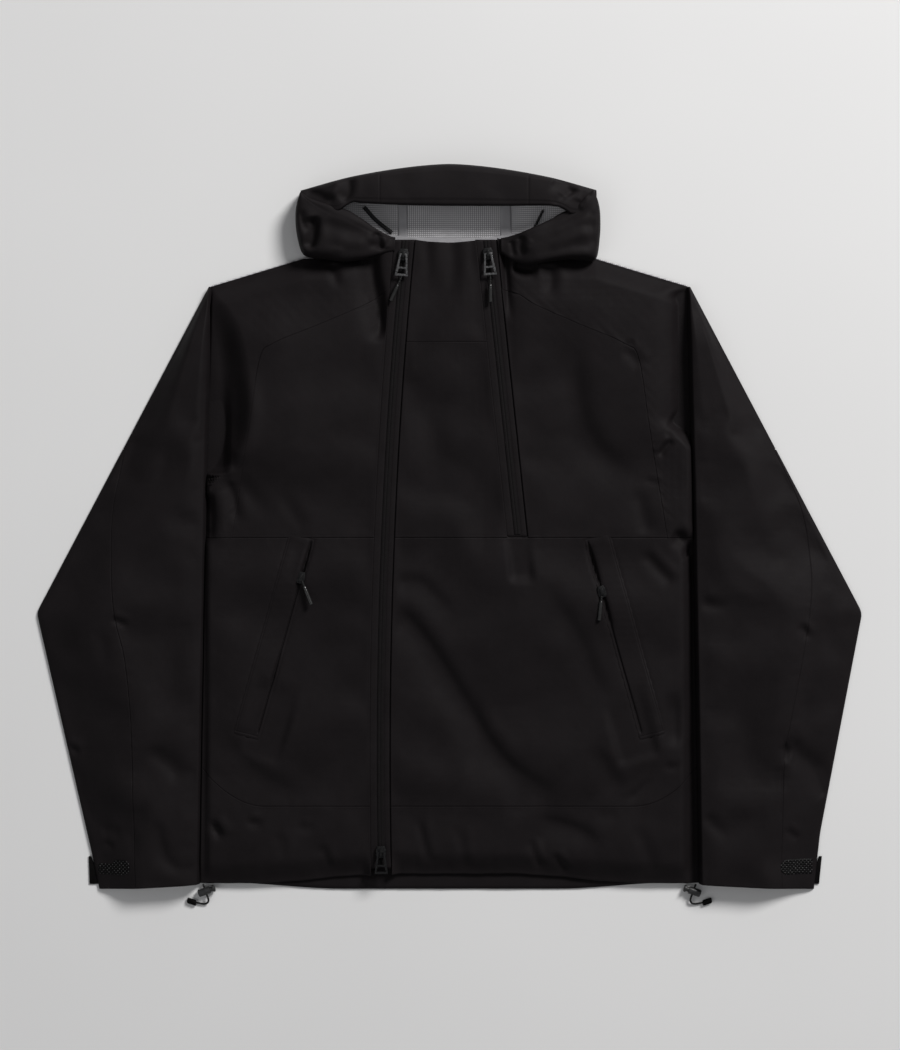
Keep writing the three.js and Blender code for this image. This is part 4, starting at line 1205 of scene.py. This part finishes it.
def build_back():
    """Back panel and the tail band below it, flat on the floor."""
    left = lambda y: -side_x(y)
    seam = flat(BACK_SEAM_Y)
    for name, node, inside, edges in (
            ("back", "back_panel", "lining", (left, side_x, seam, lambda x: shoulder_y(x) + 1.5)),
            ("back_hem", "back_hem_band", "shell", (left, side_x, tail_end_y, seam))):
        x, y = patch(*edges, step=7)
        edge = np.minimum(x - left(y), side_x(y) - x)
        z = 1.3 + (0.8 + 0.4 * noise(x, y, 80, 81)) * smooth(3, 22, edge)
        tail = y - tail_end_y(x)
        z = z + 1.4 * smooth(34, 12, tail) * smooth(-1, 4, tail)
        z = z + 0.35 * noise(x, y * 0.3, 14, 82) * smooth(30, 8, tail)
        z = np.maximum(z - bell(tail, 1.6) - 0.12 * bell(tail - 13, 0.8), 1.1)
        grid = np.stack([x, y, z], -1)
        obj = slab(name + "_sheet", grid, inside, "shell", 1.0)
        settle(obj, "jacket", "shell", node)
        cloth_sheet(grid)


# ---------------------------------------------------------------- sleeves


ELBOW_SEAM = {
    "left": [(348, -408), (349, -367), (351, -294), (353, -213), (360, -147), (371, -100), (375, -44),
             (374, 20)],
    "right": [(369, -408), (369, -332), (372, -250), (377, -222), (387, -170), (399, -100), (402, -45),
              (392, 20)],
}


def build_sleeves():
    """Each sleeve's front and back, the elbow panel at its outer edge, and what is at its cuff."""
    END_Y = 86.0
    top = flat(SHOULDER_Y - 0.5)
    for side, sign in SIDES.items():
        height = sleeve_cloth(side)
        outer = outer_x(side)
        corner_x, corner_y = CUFFS[side]["corner"]
        seam = curve_over_y(ELBOW_SEAM[side] + [(float(outer(END_Y)) - 3, END_Y)])
        cuff = table([(CUFF_INNER[0], CUFF_INNER[1]), (corner_x, corner_y)])

        def front_edge(y):
            return np.where(y < END_Y, np.minimum(seam(y), outer(y) - 0.3), outer(y) - 0.3)

        def hemmed(x, y, z):
            bottom = y - cuff(x)
            return z + edge_profile(bottom, "hem") - 0.2 * bell(bottom - 19, 0.8)

        # The sleeve lies on the body's side and hides the gap between them.
        def overlap(y):
            return inner_x(y) - 2.4 - smooth(SHOULDER_Y - 4, SHOULDER_Y - 40, y)

        x, y = patch(overlap, front_edge, cuff, top, step=3.2, inset=0.1)
        z = height(x * sign, y)
        seam_distance = np.abs(front_edge(y) - x)
        below = smooth(END_Y + 4, END_Y - 6, y)
        shown = below * (0.25 + 0.75 * smooth(-20, -110, y) * smooth(-310, -250, y))
        z = z + (edge_profile(seam_distance, "over") + puckers(seam_distance, y, 61, 0.35)) * shown
        z = hemmed(x, y, z)
        z = mix(np.minimum(z, 3.0), z, np.sqrt(smooth(-0.05, 3.2, x - overlap(y))))
        sleeve_sheet(f"sleeve_{side}_front", f"sleeve_front_{side}", x, y, z, sign)

        x, y = patch(lapped(seam, -LAP), lambda y: np.maximum(outer(y), seam(y) + 0.6), cuff, flat(END_Y),
                     step=3.2, inset=0.02)
        z = height(x * sign, y) + edge_profile(x - seam(y) + LAP, "under")
        z = hemmed(x, y, z + puckers(np.clip(x - seam(y), 0, None), y, 62, 0.3))
        sleeve_sheet(f"elbow_{side}", f"elbow_panel_{side}", x, y, z, sign)

        x, y = patch(inner_x, lambda y: outer(y) - 1.2, cuff, top, step=8)
        z = 1.0 + 0.5 * smooth(0, 14, outer(y) - x) + x * 0
        sleeve_sheet(f"sleeve_{side}_back", f"sleeve_back_{side}", x, y, z, sign, "lining", "shell")
        build_cuff(side, sign, height)


def sleeve_sheet(name, node, x, y, z, sign, outside="shell", inside="lining"):
    grid = np.stack([x * sign, y, np.maximum(z, CLOTH + 0.2)], -1)
    shell_sheet(name, face_up(grid, sign), node, outside=outside, inside=inside)


def build_cuff(side, sign, height):
    """Hook patch with its moulded hatch, and the adjuster tab beyond the sleeve's edge."""
    lo, hi = (np.array(corner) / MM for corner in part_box(f"hook_patch_{side}"))
    gx, gy = np.meshgrid(np.linspace(lo[0], hi[0], 120), np.linspace(lo[1], hi[1], 56))
    # Round end towards the sleeve's middle, and a lower strip towards its edge.
    middle = lo[0] + 8.5 if sign > 0 else hi[0] - 8.5
    inward = np.clip((middle - gx) * sign, 0, None)
    half = (hi[1] - lo[1]) / 2
    centre = (lo[1] + hi[1]) / 2
    squeeze = np.sqrt(np.clip(1 - (inward / 8.6) ** 2, 0.02, 1))
    gy = centre + (gy - centre) * squeeze
    if side == "left":
        step_down = smooth(lo[0] + 22, lo[0] + 14, gx)
        gy = np.where(gy > lo[1] + 10, mix(gy, lo[1] + 10 + (gy - lo[1] - 10) * 0.25, step_down), gy)
    turns = math.pi / HOOK_PITCH
    hatch = np.sin((gx + gy) * turns) * np.sin((gx - gy) * turns)
    edge = np.minimum(np.minimum(gx - lo[0], hi[0] - gx), half - np.abs(gy - centre) / squeeze)
    gz = height(gx, gy) + 0.7 + 0.45 * hatch * smooth(0.4, 1.6, edge) - 0.6 * bell(edge, 0.7)
    hook = slab(f"hook_{side}", np.stack([gx, gy, gz], -1), "hook", "hook", 0.9)
    settle(hook, "jacket", "hook", f"hook_patch_{side}")
    refined(f"cuff_tab_{side}", f"cuff_tab_{side}", "tab", "pull_rubber", 0.3, reach=6.5)


# ---------------------------------------------------------------- zips


def build_front_zip(name, centre, y0, y1):
    """Tape with a raised strip each side of the coil, and the coil's ridges showing through."""
    ys = np.linspace(y0, y1, int((y1 - y0) / 3.0))
    profile = table([(-12.4, -0.5), (-10.9, -0.1), (-5.6, 0), (-4.6, -0.22), (-3.7, -0.2), (3.7, -0.2),
                     (4.6, -0.15), (5.2, 0.2), (9.2, 0.3), (9.9, 0.1), (10.6, -0.9), (12.4, -1.1)])
    across = np.array([-12.4, -11.4, -10.6, -10.2, -9.8, -8, -6, -5.4, -4.9, -4.4, -3.7, -2, 0, 2, 3.7,
                       4.1, 4.4, 4.7, 5.0, 5.6, 7, 8.6, 9.4, 9.7, 9.9, 10.2, 10.4, 11.4, 12.4])
    o, y = np.meshgrid(across, ys)
    z = TAPE_Z + profile(o) + 0.18 * noise(o * 0.3, y, 18, 33)
    grid = np.stack([centre(y) + o, y, z], -1)
    tape = slab(name + "_tape", grid, "zip_tape", "zip_tape", 0.5)
    settle(tape, "jacket", "zip", name)
    rows = np.linspace(y0 + 3, y1 - 1, int((y1 - y0) / 0.62))
    lanes = np.array([-3.2, -2.9, -2.2, -1.2, -0.5, -0.22, 0.22, 0.5, 1.2, 2.2, 2.9, 3.2])
    o, y = np.meshgrid(lanes, rows)
    arch = 0.5 * np.sqrt(np.clip(1 - (np.abs(o) / 3.3) ** 4, 0, 1)) - 0.4 * bell(o, 0.35)
    ridge = 0.06 * np.sin(y * 2 * math.pi / 2.5 + np.sign(o) * math.pi / 2) * smooth(3.2, 2.2, np.abs(o))
    z = TAPE_Z + 0.1 + arch + ridge
    coil = slab(name + "_coil", np.stack([centre(y) + o, y, z], -1), "coil", "coil", 0.5)
    settle(coil, "jacket", "zip")


def build_slider_parts():
    """Sliders with their pull tabs, and the cord pulls on them."""
    for name in ("main_top", "main_bottom", "chest"):
        refined(f"{name}_slider", f"{name}_slider", "metal", "metal", 0.3)
        finish = "metal" if name == "main_bottom" else "bright_metal"
        refined(f"{name}_pull_tab", f"{name}_tab", finish, "metal", 0.3, spread=0.35)
    for side in SIDES:
        refined(f"pocket_slider_{side}", f"pocket_slider_{side}", "metal", "metal", 0.3)
    for name in ("main_top", "chest"):
        joint = joint_named(f"{name}_cord_swing")
        build_cord_pull(f"{name}_cord_pull", f"{name}_cord", joint, 0.0, 9.0, 20.0, 1.0)
    for side in SIDES:
        joint = joint_named(f"pocket_pull_lift_{side}")
        build_cord_pull(f"pocket_pull_{side}", f"pocket_pull_{side}", joint, 4.6, 6.0, 22.0, 2.4)


def pull_radius(run, cord_length, end_length):
    """Radius of a cord pull at a distance along it: a cord with three knots, then its moulded end."""
    if run < cord_length:
        return 0.75 + 0.5 * sum(bell(run - cord_length * share, 0.8) for share in (0.25, 0.6, 0.92))
    t = (run - cord_length) / end_length
    radius = 1.75 + 0.4 * smooth(0.0, 0.12, t) - 0.14 * bell(t - 0.16, 0.03)
    return radius * math.sqrt(max(0.05, 1 - max(0.0, (t - 0.95) / 0.05) ** 2))


def build_cord_pull(node, body, joint, start, cord_length, end_length, loop):
    """A knotted cord with a moulded tube end, lying away from the joint it swings on. It starts at a
    distance from the joint, less the loop that goes round the tab or the slider's bridge."""
    origin = np.array(joint["pos_m"]) / MM
    axis = np.array(joint["axis"])
    away = np.array([-axis[1], axis[0], 0.0])
    away = away / np.linalg.norm(away)
    low, high = (np.array(corner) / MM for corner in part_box(node))
    if np.dot((low + high) / 2 - origin, away) < 0:
        away = -away
    across = np.array([-away[1], away[0], 0.0])
    SIDES_ROUND = 16
    stations = np.linspace(start - loop, start + cord_length + end_length, 90)
    points = []
    for s in stations:
        radius = pull_radius(s - start, cord_length, end_length)
        for turn in np.linspace(0, 2 * math.pi, SIDES_ROUND, endpoint=False):
            sideways = across * math.cos(turn) + np.array([0, 0, math.sin(turn)])
            points.append(origin + away * s + sideways * radius)
    rings = np.arange(len(points)).reshape(len(stations), SIDES_ROUND)
    rings = np.concatenate([rings, rings[:, :1]], axis=1)
    faces = quads(rings).tolist()
    split = int(np.argmin(np.abs(stations - start - cord_length)))
    slots = [0 if k < split else 1 for k in range(len(stations) - 1) for _ in range(SIDES_ROUND)]
    first = len(points)
    last = first + 1
    points.append(origin + away * stations[0])
    points.append(origin + away * stations[-1])
    for a, b, c, d in zip(rings[0], rings[0, 1:], rings[-1], rings[-1, 1:]):
        faces.append((first, int(b), int(a)))
        faces.append((last, int(c), int(d)))
        slots.extend([0, 1])
    settle(build_round(node + "_detail", points, faces, slots, ("cord", "rubber")), body, "pull_rubber", node)


def build_round(name, points, faces, slots, materials):
    """A smooth shaded object whose faces may differ in their number of corners."""
    mesh = bpy.data.meshes.new(name)
    mesh.from_pydata([tuple(p * MM) for p in points], [], faces)
    mesh.update()
    for material in materials:
        mesh.materials.append(MATERIALS[material])
    for polygon, slot in zip(mesh.polygons, slots):
        polygon.use_smooth = True
        polygon.material_index = slot
    bm = bmesh.new()
    bm.from_mesh(mesh)
    bmesh.ops.recalc_face_normals(bm, faces=bm.faces)
    bm.to_mesh(mesh)
    bm.free()
    return link(name, mesh)


def build_drawcord():
    """The cord's run inside the hem's channel."""
    route = curve([(-262, -386, 1.3), (-200, -392, 1.3), (-100, -396, 1.3), (0, -397, 1.3),
                   (100, -396, 1.3), (200, -392, 1.3), (262, -386, 1.3)], 80)
    cord = cord_along("hem_cord_inside", route)
    settle(cord, "jacket", "cord", "hem_drawcord")


# ---------------------------------------------------------------- hood


def crown_edge_y(x):
    return 402.5 - 29 * (np.abs(x) / 167) ** 1.6


def bend_with_hood(obj, slot, *nodes):
    """Bakes a piece's place into its mesh and hides the CAD nodes it stands in for."""
    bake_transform(obj)
    if nodes:
        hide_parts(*nodes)
    return obj


BRIM = curve([(-122, 349), (-108, 358), (-96, 357.5), (-56, 355.6), (0, 354.8), (60, 354.6), (112, 354.6),
              (126, 351), (134, 346)], 200)


def brim_y(x):
    return np.interp(x, BRIM[:, 0], BRIM[:, 1])


CROWN_FOLDS = [
    ([(-113, 388), (-110, 378), (-112, 366), (-120, 358)], -5.5, 4.5, 0.15, 1.8, (0.15, 0.2)),
    ([(-126, 384), (-128, 372), (-134, 362)], 2.0, 5, 0, 1, (0.2, 0.2)),
    ([(-160, 374), (-142, 366), (-126, 360)], -3, 4, 0.3, 1.4, (0.2, 0.1)),
    ([(-150, 380), (-138, 376), (-128, 378)], -1.6, 5, 0.3, 1.2, (0.2, 0.3)),
    ([(117, 386), (128, 378), (137, 366)], -6, 5, 0, 2.2, (0.15, 0.15)),
    ([(140, 378), (146, 370), (142, 358)], 2.6, 5, 0, 1, (0.2, 0.2)),
    ([(126, 366), (118, 358), (112, 356)], -2, 5, 0.3, 1.2, (0.2, 0.3)),
    ([(-60, 392), (-50, 376), (-54, 360)], -0.7, 12, 0.3, 1, (0.3, 0.3)),
    ([(40, 394), (52, 378), (46, 362)], -0.7, 14, 0.3, 1, (0.3, 0.3)),
]


def build_crown():
    """Crown and brim: from the brim's turned-under edge, over the top and round the rim to the floor."""
    seams = (-77.0, 87.0)
    x = [np.linspace(-165, -78.2, 34), np.linspace(-77.8, 86.2, 60), np.linspace(87.8, 163, 32)]
    x = np.sort(np.concatenate(x + [[s + o for s in seams for o in (-1.4, -0.7, 0, 0.7, 1.4)]]))
    lip = brim_y(x)
    rim = crown_edge_y(x)
    # Stations across the crown: share of the way from brim to rim, and height as a share of the top.
    stations = [(0.10, -0.30), (0.05, -0.26), (0.015, -0.2), (-0.01, -0.12), (-0.012, -0.06), (0.0, 0.0),
                (0.02, 0.03), (0.05, 0.045), (0.09, 0.05), (0.115, 0.053)]
    stations += [(t, 0.055 + 0.05 * math.sin(t * 3)) for t in np.linspace(0.15, 0.8, 22)]
    stations += [(0.86, 0.05), (0.91, -0.02), (0.95, -0.12), (0.975, -0.24), (0.99, -0.4), (1.0, -0.6),
                 (0.995, -0.78), (0.98, -0.9), (0.95, -0.955)]
    ends = 1 - smooth(112, 165, np.abs(x))
    top = mix(22, 36, ends)
    share, lift = np.array(stations).T[..., None]
    gx = x + 0 * share
    gy = mix(lip, rim, share)
    upper = smooth(-0.3, -0.05, lift) * smooth(-0.05, 0.04, share)
    shape = fold_sum(gx, gy, CROWN_FOLDS) + 0.6 * noise(gx, gy, 44, 121) + 0.12 * noise(gx, gy, 17, 122)
    gz = top * (1 + lift) + upper * shape
    for s in seams:
        gz = gz - upper * (0.45 * bell(gx - s, 0.8) - 0.15 * bell(gx - s - 3, 1.2))
    grid = np.stack([gx, gy, np.maximum(gz, 1.2)], -1)
    crown = slab("hood_crown_cloth", grid, "hood_shell", "lining", HOOD_CLOTH)
    bend_with_hood(crown, "hood_shell", "hood_crown")
    cloth_sheet(grid)


# Inner and outer edge of each rolled side of the hood, from the crown down to the zip.
SIDE_RIM = {
    "left": [(-164, 370), (-155, 363.5), (-143, 359), (-128, 354.5), (-112, 349.5), (-104, 345), (-94.6, 339),
             (-83.4, 331.2), (-74, 326), (-66, 322.6), (-60, 321)],
    "right": [(157, 371.5), (152, 366.5), (146, 361), (139, 353), (130, 349.5), (122, 346), (112, 340),
              (98, 333.5), (80, 326), (66, 322), (57, 320.5)],
}
SIDE_OUTER = {
    "left": [(-166, 369), (-170, 358), (-171.5, 345), (-170, 325), (-163.5, 304), (-150, 298), (-138, 296.5),
             (-117, 294), (-98, 296), (-80, 301), (-68, 304), (-61, 305)],
    "right": [(161, 371.5), (166, 359), (168, 345), (167.5, 322), (163, 298), (148, 296), (132, 296.5),
              (110, 294), (88, 290), (70, 296), (60, 302), (57, 304)],
}
SIDE_FOLDS = {
    "left": [
        ([(-162, 366), (-140, 356), (-116, 350)], 2.0, 5, 0, 1, (0.2, 0.4)),
        ([(-150, 344), (-149, 332), (-151, 318), (-156, 306)], -11, 5, 0.1, 1.7, (0.2, 0.15)),
        ([(-164, 352), (-162, 338), (-158, 324)], -3, 4, 0.2, 1, (0.3, 0.3)),
        ([(-148, 336), (-128, 332), (-108, 326), (-84, 322)], -2.2, 6, 0.5, 1.4, (0.2, 0.4)),
        ([(-132, 318), (-110, 314), (-88, 312)], 1.6, 7, 0, 1, (0.3, 0.3)),
        ([(-92, 310), (-80, 312), (-72, 308)], -2.4, 4, 0.4, 1, (0.3, 0.2)),
        ([(-84, 326), (-78, 318), (-76, 306)], -3.2, 3.5, 0.5, 1, (0.2, 0.2)),
        ([(-140, 302), (-128, 306), (-114, 303)], 1.6, 4, 0, 1, (0.3, 0.3)),
    ],
    "right": [
        ([(152, 368), (150, 358), (142, 350)], 2.6, 4, 0, 1, (0.2, 0.3)),
        ([(164, 356), (140, 346), (112, 336), (92, 322)], -3.2, 6, 0.45, 1.6, (0.25, 0.4)),
        ([(166, 336), (140, 332), (118, 322), (96, 308)], -2.8, 6, 0.5, 1.5, (0.2, 0.35)),
        ([(164, 310), (140, 312), (116, 306), (96, 298)], -2.6, 6, 0.4, 1.3, (0.2, 0.3)),
        ([(160, 352), (157, 330), (160, 308)], -2.0, 5, 0.4, 1, (0.2, 0.2)),
        ([(82, 322), (78, 310), (84, 298)], -3.4, 4, 0.4, 1, (0.15, 0.3)),
        ([(68, 318), (70, 308), (72, 298)], -2.4, 3, 0.4, 1, (0.15, 0.3)),
    ],
}


def build_hood_sides():
    """The rolled cloth on each side of the hood's opening, down to the collar."""
    for side, sign in SIDES.items():
        rim = curve(SIDE_RIM[side], 110)
        outer = curve(SIDE_OUTER[side], 110)
        # Across the roll: from under its inner rim, over the top and down to its outer edge.
        stations = [(0.10, 0.30), (0.045, 0.42), (0.01, 0.55), (-0.005, 0.68), (0.005, 0.80), (0.03, 0.88)]
        stations += [(s, 0.9 + 0.1 * math.sin(math.pi * (s - 0.05) / 0.75))
                     for s in np.linspace(0.07, 0.8, 24)]
        stations += [(0.86, 0.86), (0.91, 0.78), (0.95, 0.66), (0.98, 0.5), (0.995, 0.32), (1.0, 0.16),
                     (0.985, 0.06), (0.95, 0.02)]
        t = np.linspace(0, 1, 110)
        over_jacket = smooth(312, 296, outer[:, 1]) * smooth(0.3, 0.62, t)
        floor = mix(1.5, 17.4, over_jacket)
        top = mix(30, 35, np.sin(np.clip(t * 1.15, 0, 1) * math.pi))
        top = mix(top, 19.5, smooth(0.74, 0.99, t))
        share, lift = np.array(stations).T[..., None]
        gx = mix(rim[:, 0], outer[:, 0], share)
        gy = mix(rim[:, 1], outer[:, 1], share)
        gz = mix(mix(13.5, floor, smooth(0.2, 0.9, share)), top, lift)
        upper = smooth(0.45, 0.85, lift)
        seed = 140 if sign > 0 else 150
        shape = fold_sum(gx, gy, SIDE_FOLDS[side])
        shape = shape + 0.8 * noise(gx, gy, 34, seed) + 0.2 * noise(gx, gy, 12, seed + 1)
        # A stitched line runs beside the inner rim.
        gz = gz + upper * (shape - 0.5 * bell((share - 0.16) * 60, 0.9))
        grid = np.stack([gx, gy, np.maximum(gz, 1.2)], -1)
        obj = slab(f"hood_{side}_cloth", grid, "hood_shell", "lining", HOOD_CLOTH, flip=sign < 0)
        bend_with_hood(obj, "hood_shell", f"hood_side_{side}", f"side_collar_{side}")
        cloth_sheet(grid)


def lining_height(x, y):
    """Height of the hood's lining: it lies on the floor and rises into the rolls on both sides."""
    z = 2.0 + noise(x, y, 40, 161) + 0.5 * noise(x, y, 16, 162)
    z = z + 12 * smooth(96, 140, np.abs(x)) + 6 * smooth(70, 100, np.abs(x))
    return np.maximum(z, 1.2)


def build_hood_inside():
    """Grey lining that shows in the hood's opening, with its seam tapes, its neck tape and two dark strips of
    painted shadow beside the rolls.
    """
    gx, gy = np.meshgrid(np.linspace(-152, 150, 90), np.linspace(301, 396, 34))
    gy = np.minimum(gy, crown_edge_y(gx) - 5)
    grid = np.stack([gx, gy, lining_height(gx, gy)], -1)
    lining = slab("hood_lining", grid, "lining", "shell")
    bend_with_hood(lining, "lining", "hood_back_panel")
    cloth_sheet(grid)

    tapes = {
        "hood_tape_left": ([(-53.5, 306), (-52, 330), (-53, 380)], 5.2),
        "hood_tape_right": ([(62.5, 306), (63, 330), (62, 380)], 6.2),
        "neck_tape": ([(-72, 322.5), (-40, 319), (0, 318), (40, 319), (74, 323)], 4.2),
        # The last two are not tapes: they are dark strips of painted shadow, where the rolls shade the
        # lining.
        "hood_seam_left": ([(-95, 356), (-82, 342), (-64, 328)], 2.3),
        "hood_seam_right": ([(104, 352), (98, 340), (92, 328)], 1.4),
    }
    for name, (route, half) in tapes.items():
        line = curve(route, 60)
        tangent = np.gradient(line, axis=0)
        tangent /= np.linalg.norm(tangent, axis=1, keepdims=True)
        side = np.stack([-tangent[:, 1], tangent[:, 0]], -1)
        across = np.linspace(-half, half, 9)
        px = line[:, :1] + side[:, :1] * across
        py = line[:, 1:] + side[:, 1:] * across
        pz = lining_height(px, py) + 0.7 - 0.4 * bell(half - np.abs(across), 0.5)
        material = "tape"
        if name == "neck_tape":
            pz = pz + 0.3
        # Painted shadow: these strips are dark and raised, where the rolls shade the lining.
        if name.startswith("hood_seam"):
            pz = pz + 3.0 * np.cos(across / half * math.pi / 2)
            material = "painted_shadow"
        tape = slab(name, np.stack([px, py, pz], -1), material, material, 0.35, flip=True)
        bend_with_hood(tape, "lining")


# ---------------------------------------------------------------- stage


def add_floor():
    """A light floor just below the jacket. Metres."""
    HALF = 6.0
    DROP = 0.0006
    mesh = bpy.data.meshes.new("floor")
    corners = [(-HALF, -HALF, 0), (HALF, -HALF, 0), (HALF, HALF, 0), (-HALF, HALF, 0)]
    mesh.from_pydata(corners, [], [(0, 1, 2, 3)])
    floor = link("floor", mesh)
    floor.location = (0, 0, -DROP)
    n = Nodes("floor")
    color = n.ramp(n.noise(1.2, 3), (0.68, 0.68, 0.68), (0.71, 0.71, 0.71), 0.3, 0.7)
    mesh.materials.append(n.finish(color, 0.8, specular=0.2))
    floor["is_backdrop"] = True


def add_area(name, location, size, power, color):
    """A round soft light that points at the middle of the jacket."""
    data = bpy.data.lights.new(name, "AREA")
    data.shape = "DISK"
    data.size = size
    data.energy = power
    data.color = color
    light = link(name, data)
    light.location = location
    light.rotation_euler = (-Vector(location)).to_track_quat("-Z", "Y").to_euler()


def add_light():
    """A soft key from the upper right, a weak fill from the lower left, and an even studio round it."""
    add_area("key", (2.6, 3.2, 3.1), 1.7, 292, (1.0, 0.99, 0.98))
    add_area("fill", (-2.2, -1.6, 2.6), 2.4, 12, (0.985, 0.99, 1.0))
    world = bpy.data.worlds.new("studio")
    world.use_nodes = True
    background = world.node_tree.nodes["Background"]
    background.inputs["Color"].default_value = (0.98, 0.985, 1.0, 1)
    background.inputs["Strength"].default_value = 0.25
    bpy.context.scene.world = world
    bpy.context.scene.view_settings.view_transform = "Standard"


# ---------------------------------------------------------------- everything

# Simulates the buckles first, since the panels look them up.
run_simulations()
build_back()
build_front()
build_sleeves()
build_front_zip("main_zip", main_zip_x, ZIP_BOTTOM_Y, ZIP_TOP_Y + 9)
build_front_zip("chest_zip", chest_zip_x, CHEST_SEAM_Y + 0.5, ZIP_TOP_Y + 9)
build_slider_parts()
build_drawcord()
build_hood_inside()
build_hood_sides()
build_crown()
add_floor()
add_light()


def corners(bounds):
    low, high = bounds
    return [[round(float(v), 6) for v in low], [round(float(v), 6) for v in high]]


{"cad": corners(cad_box), "visual": corners(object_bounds())}
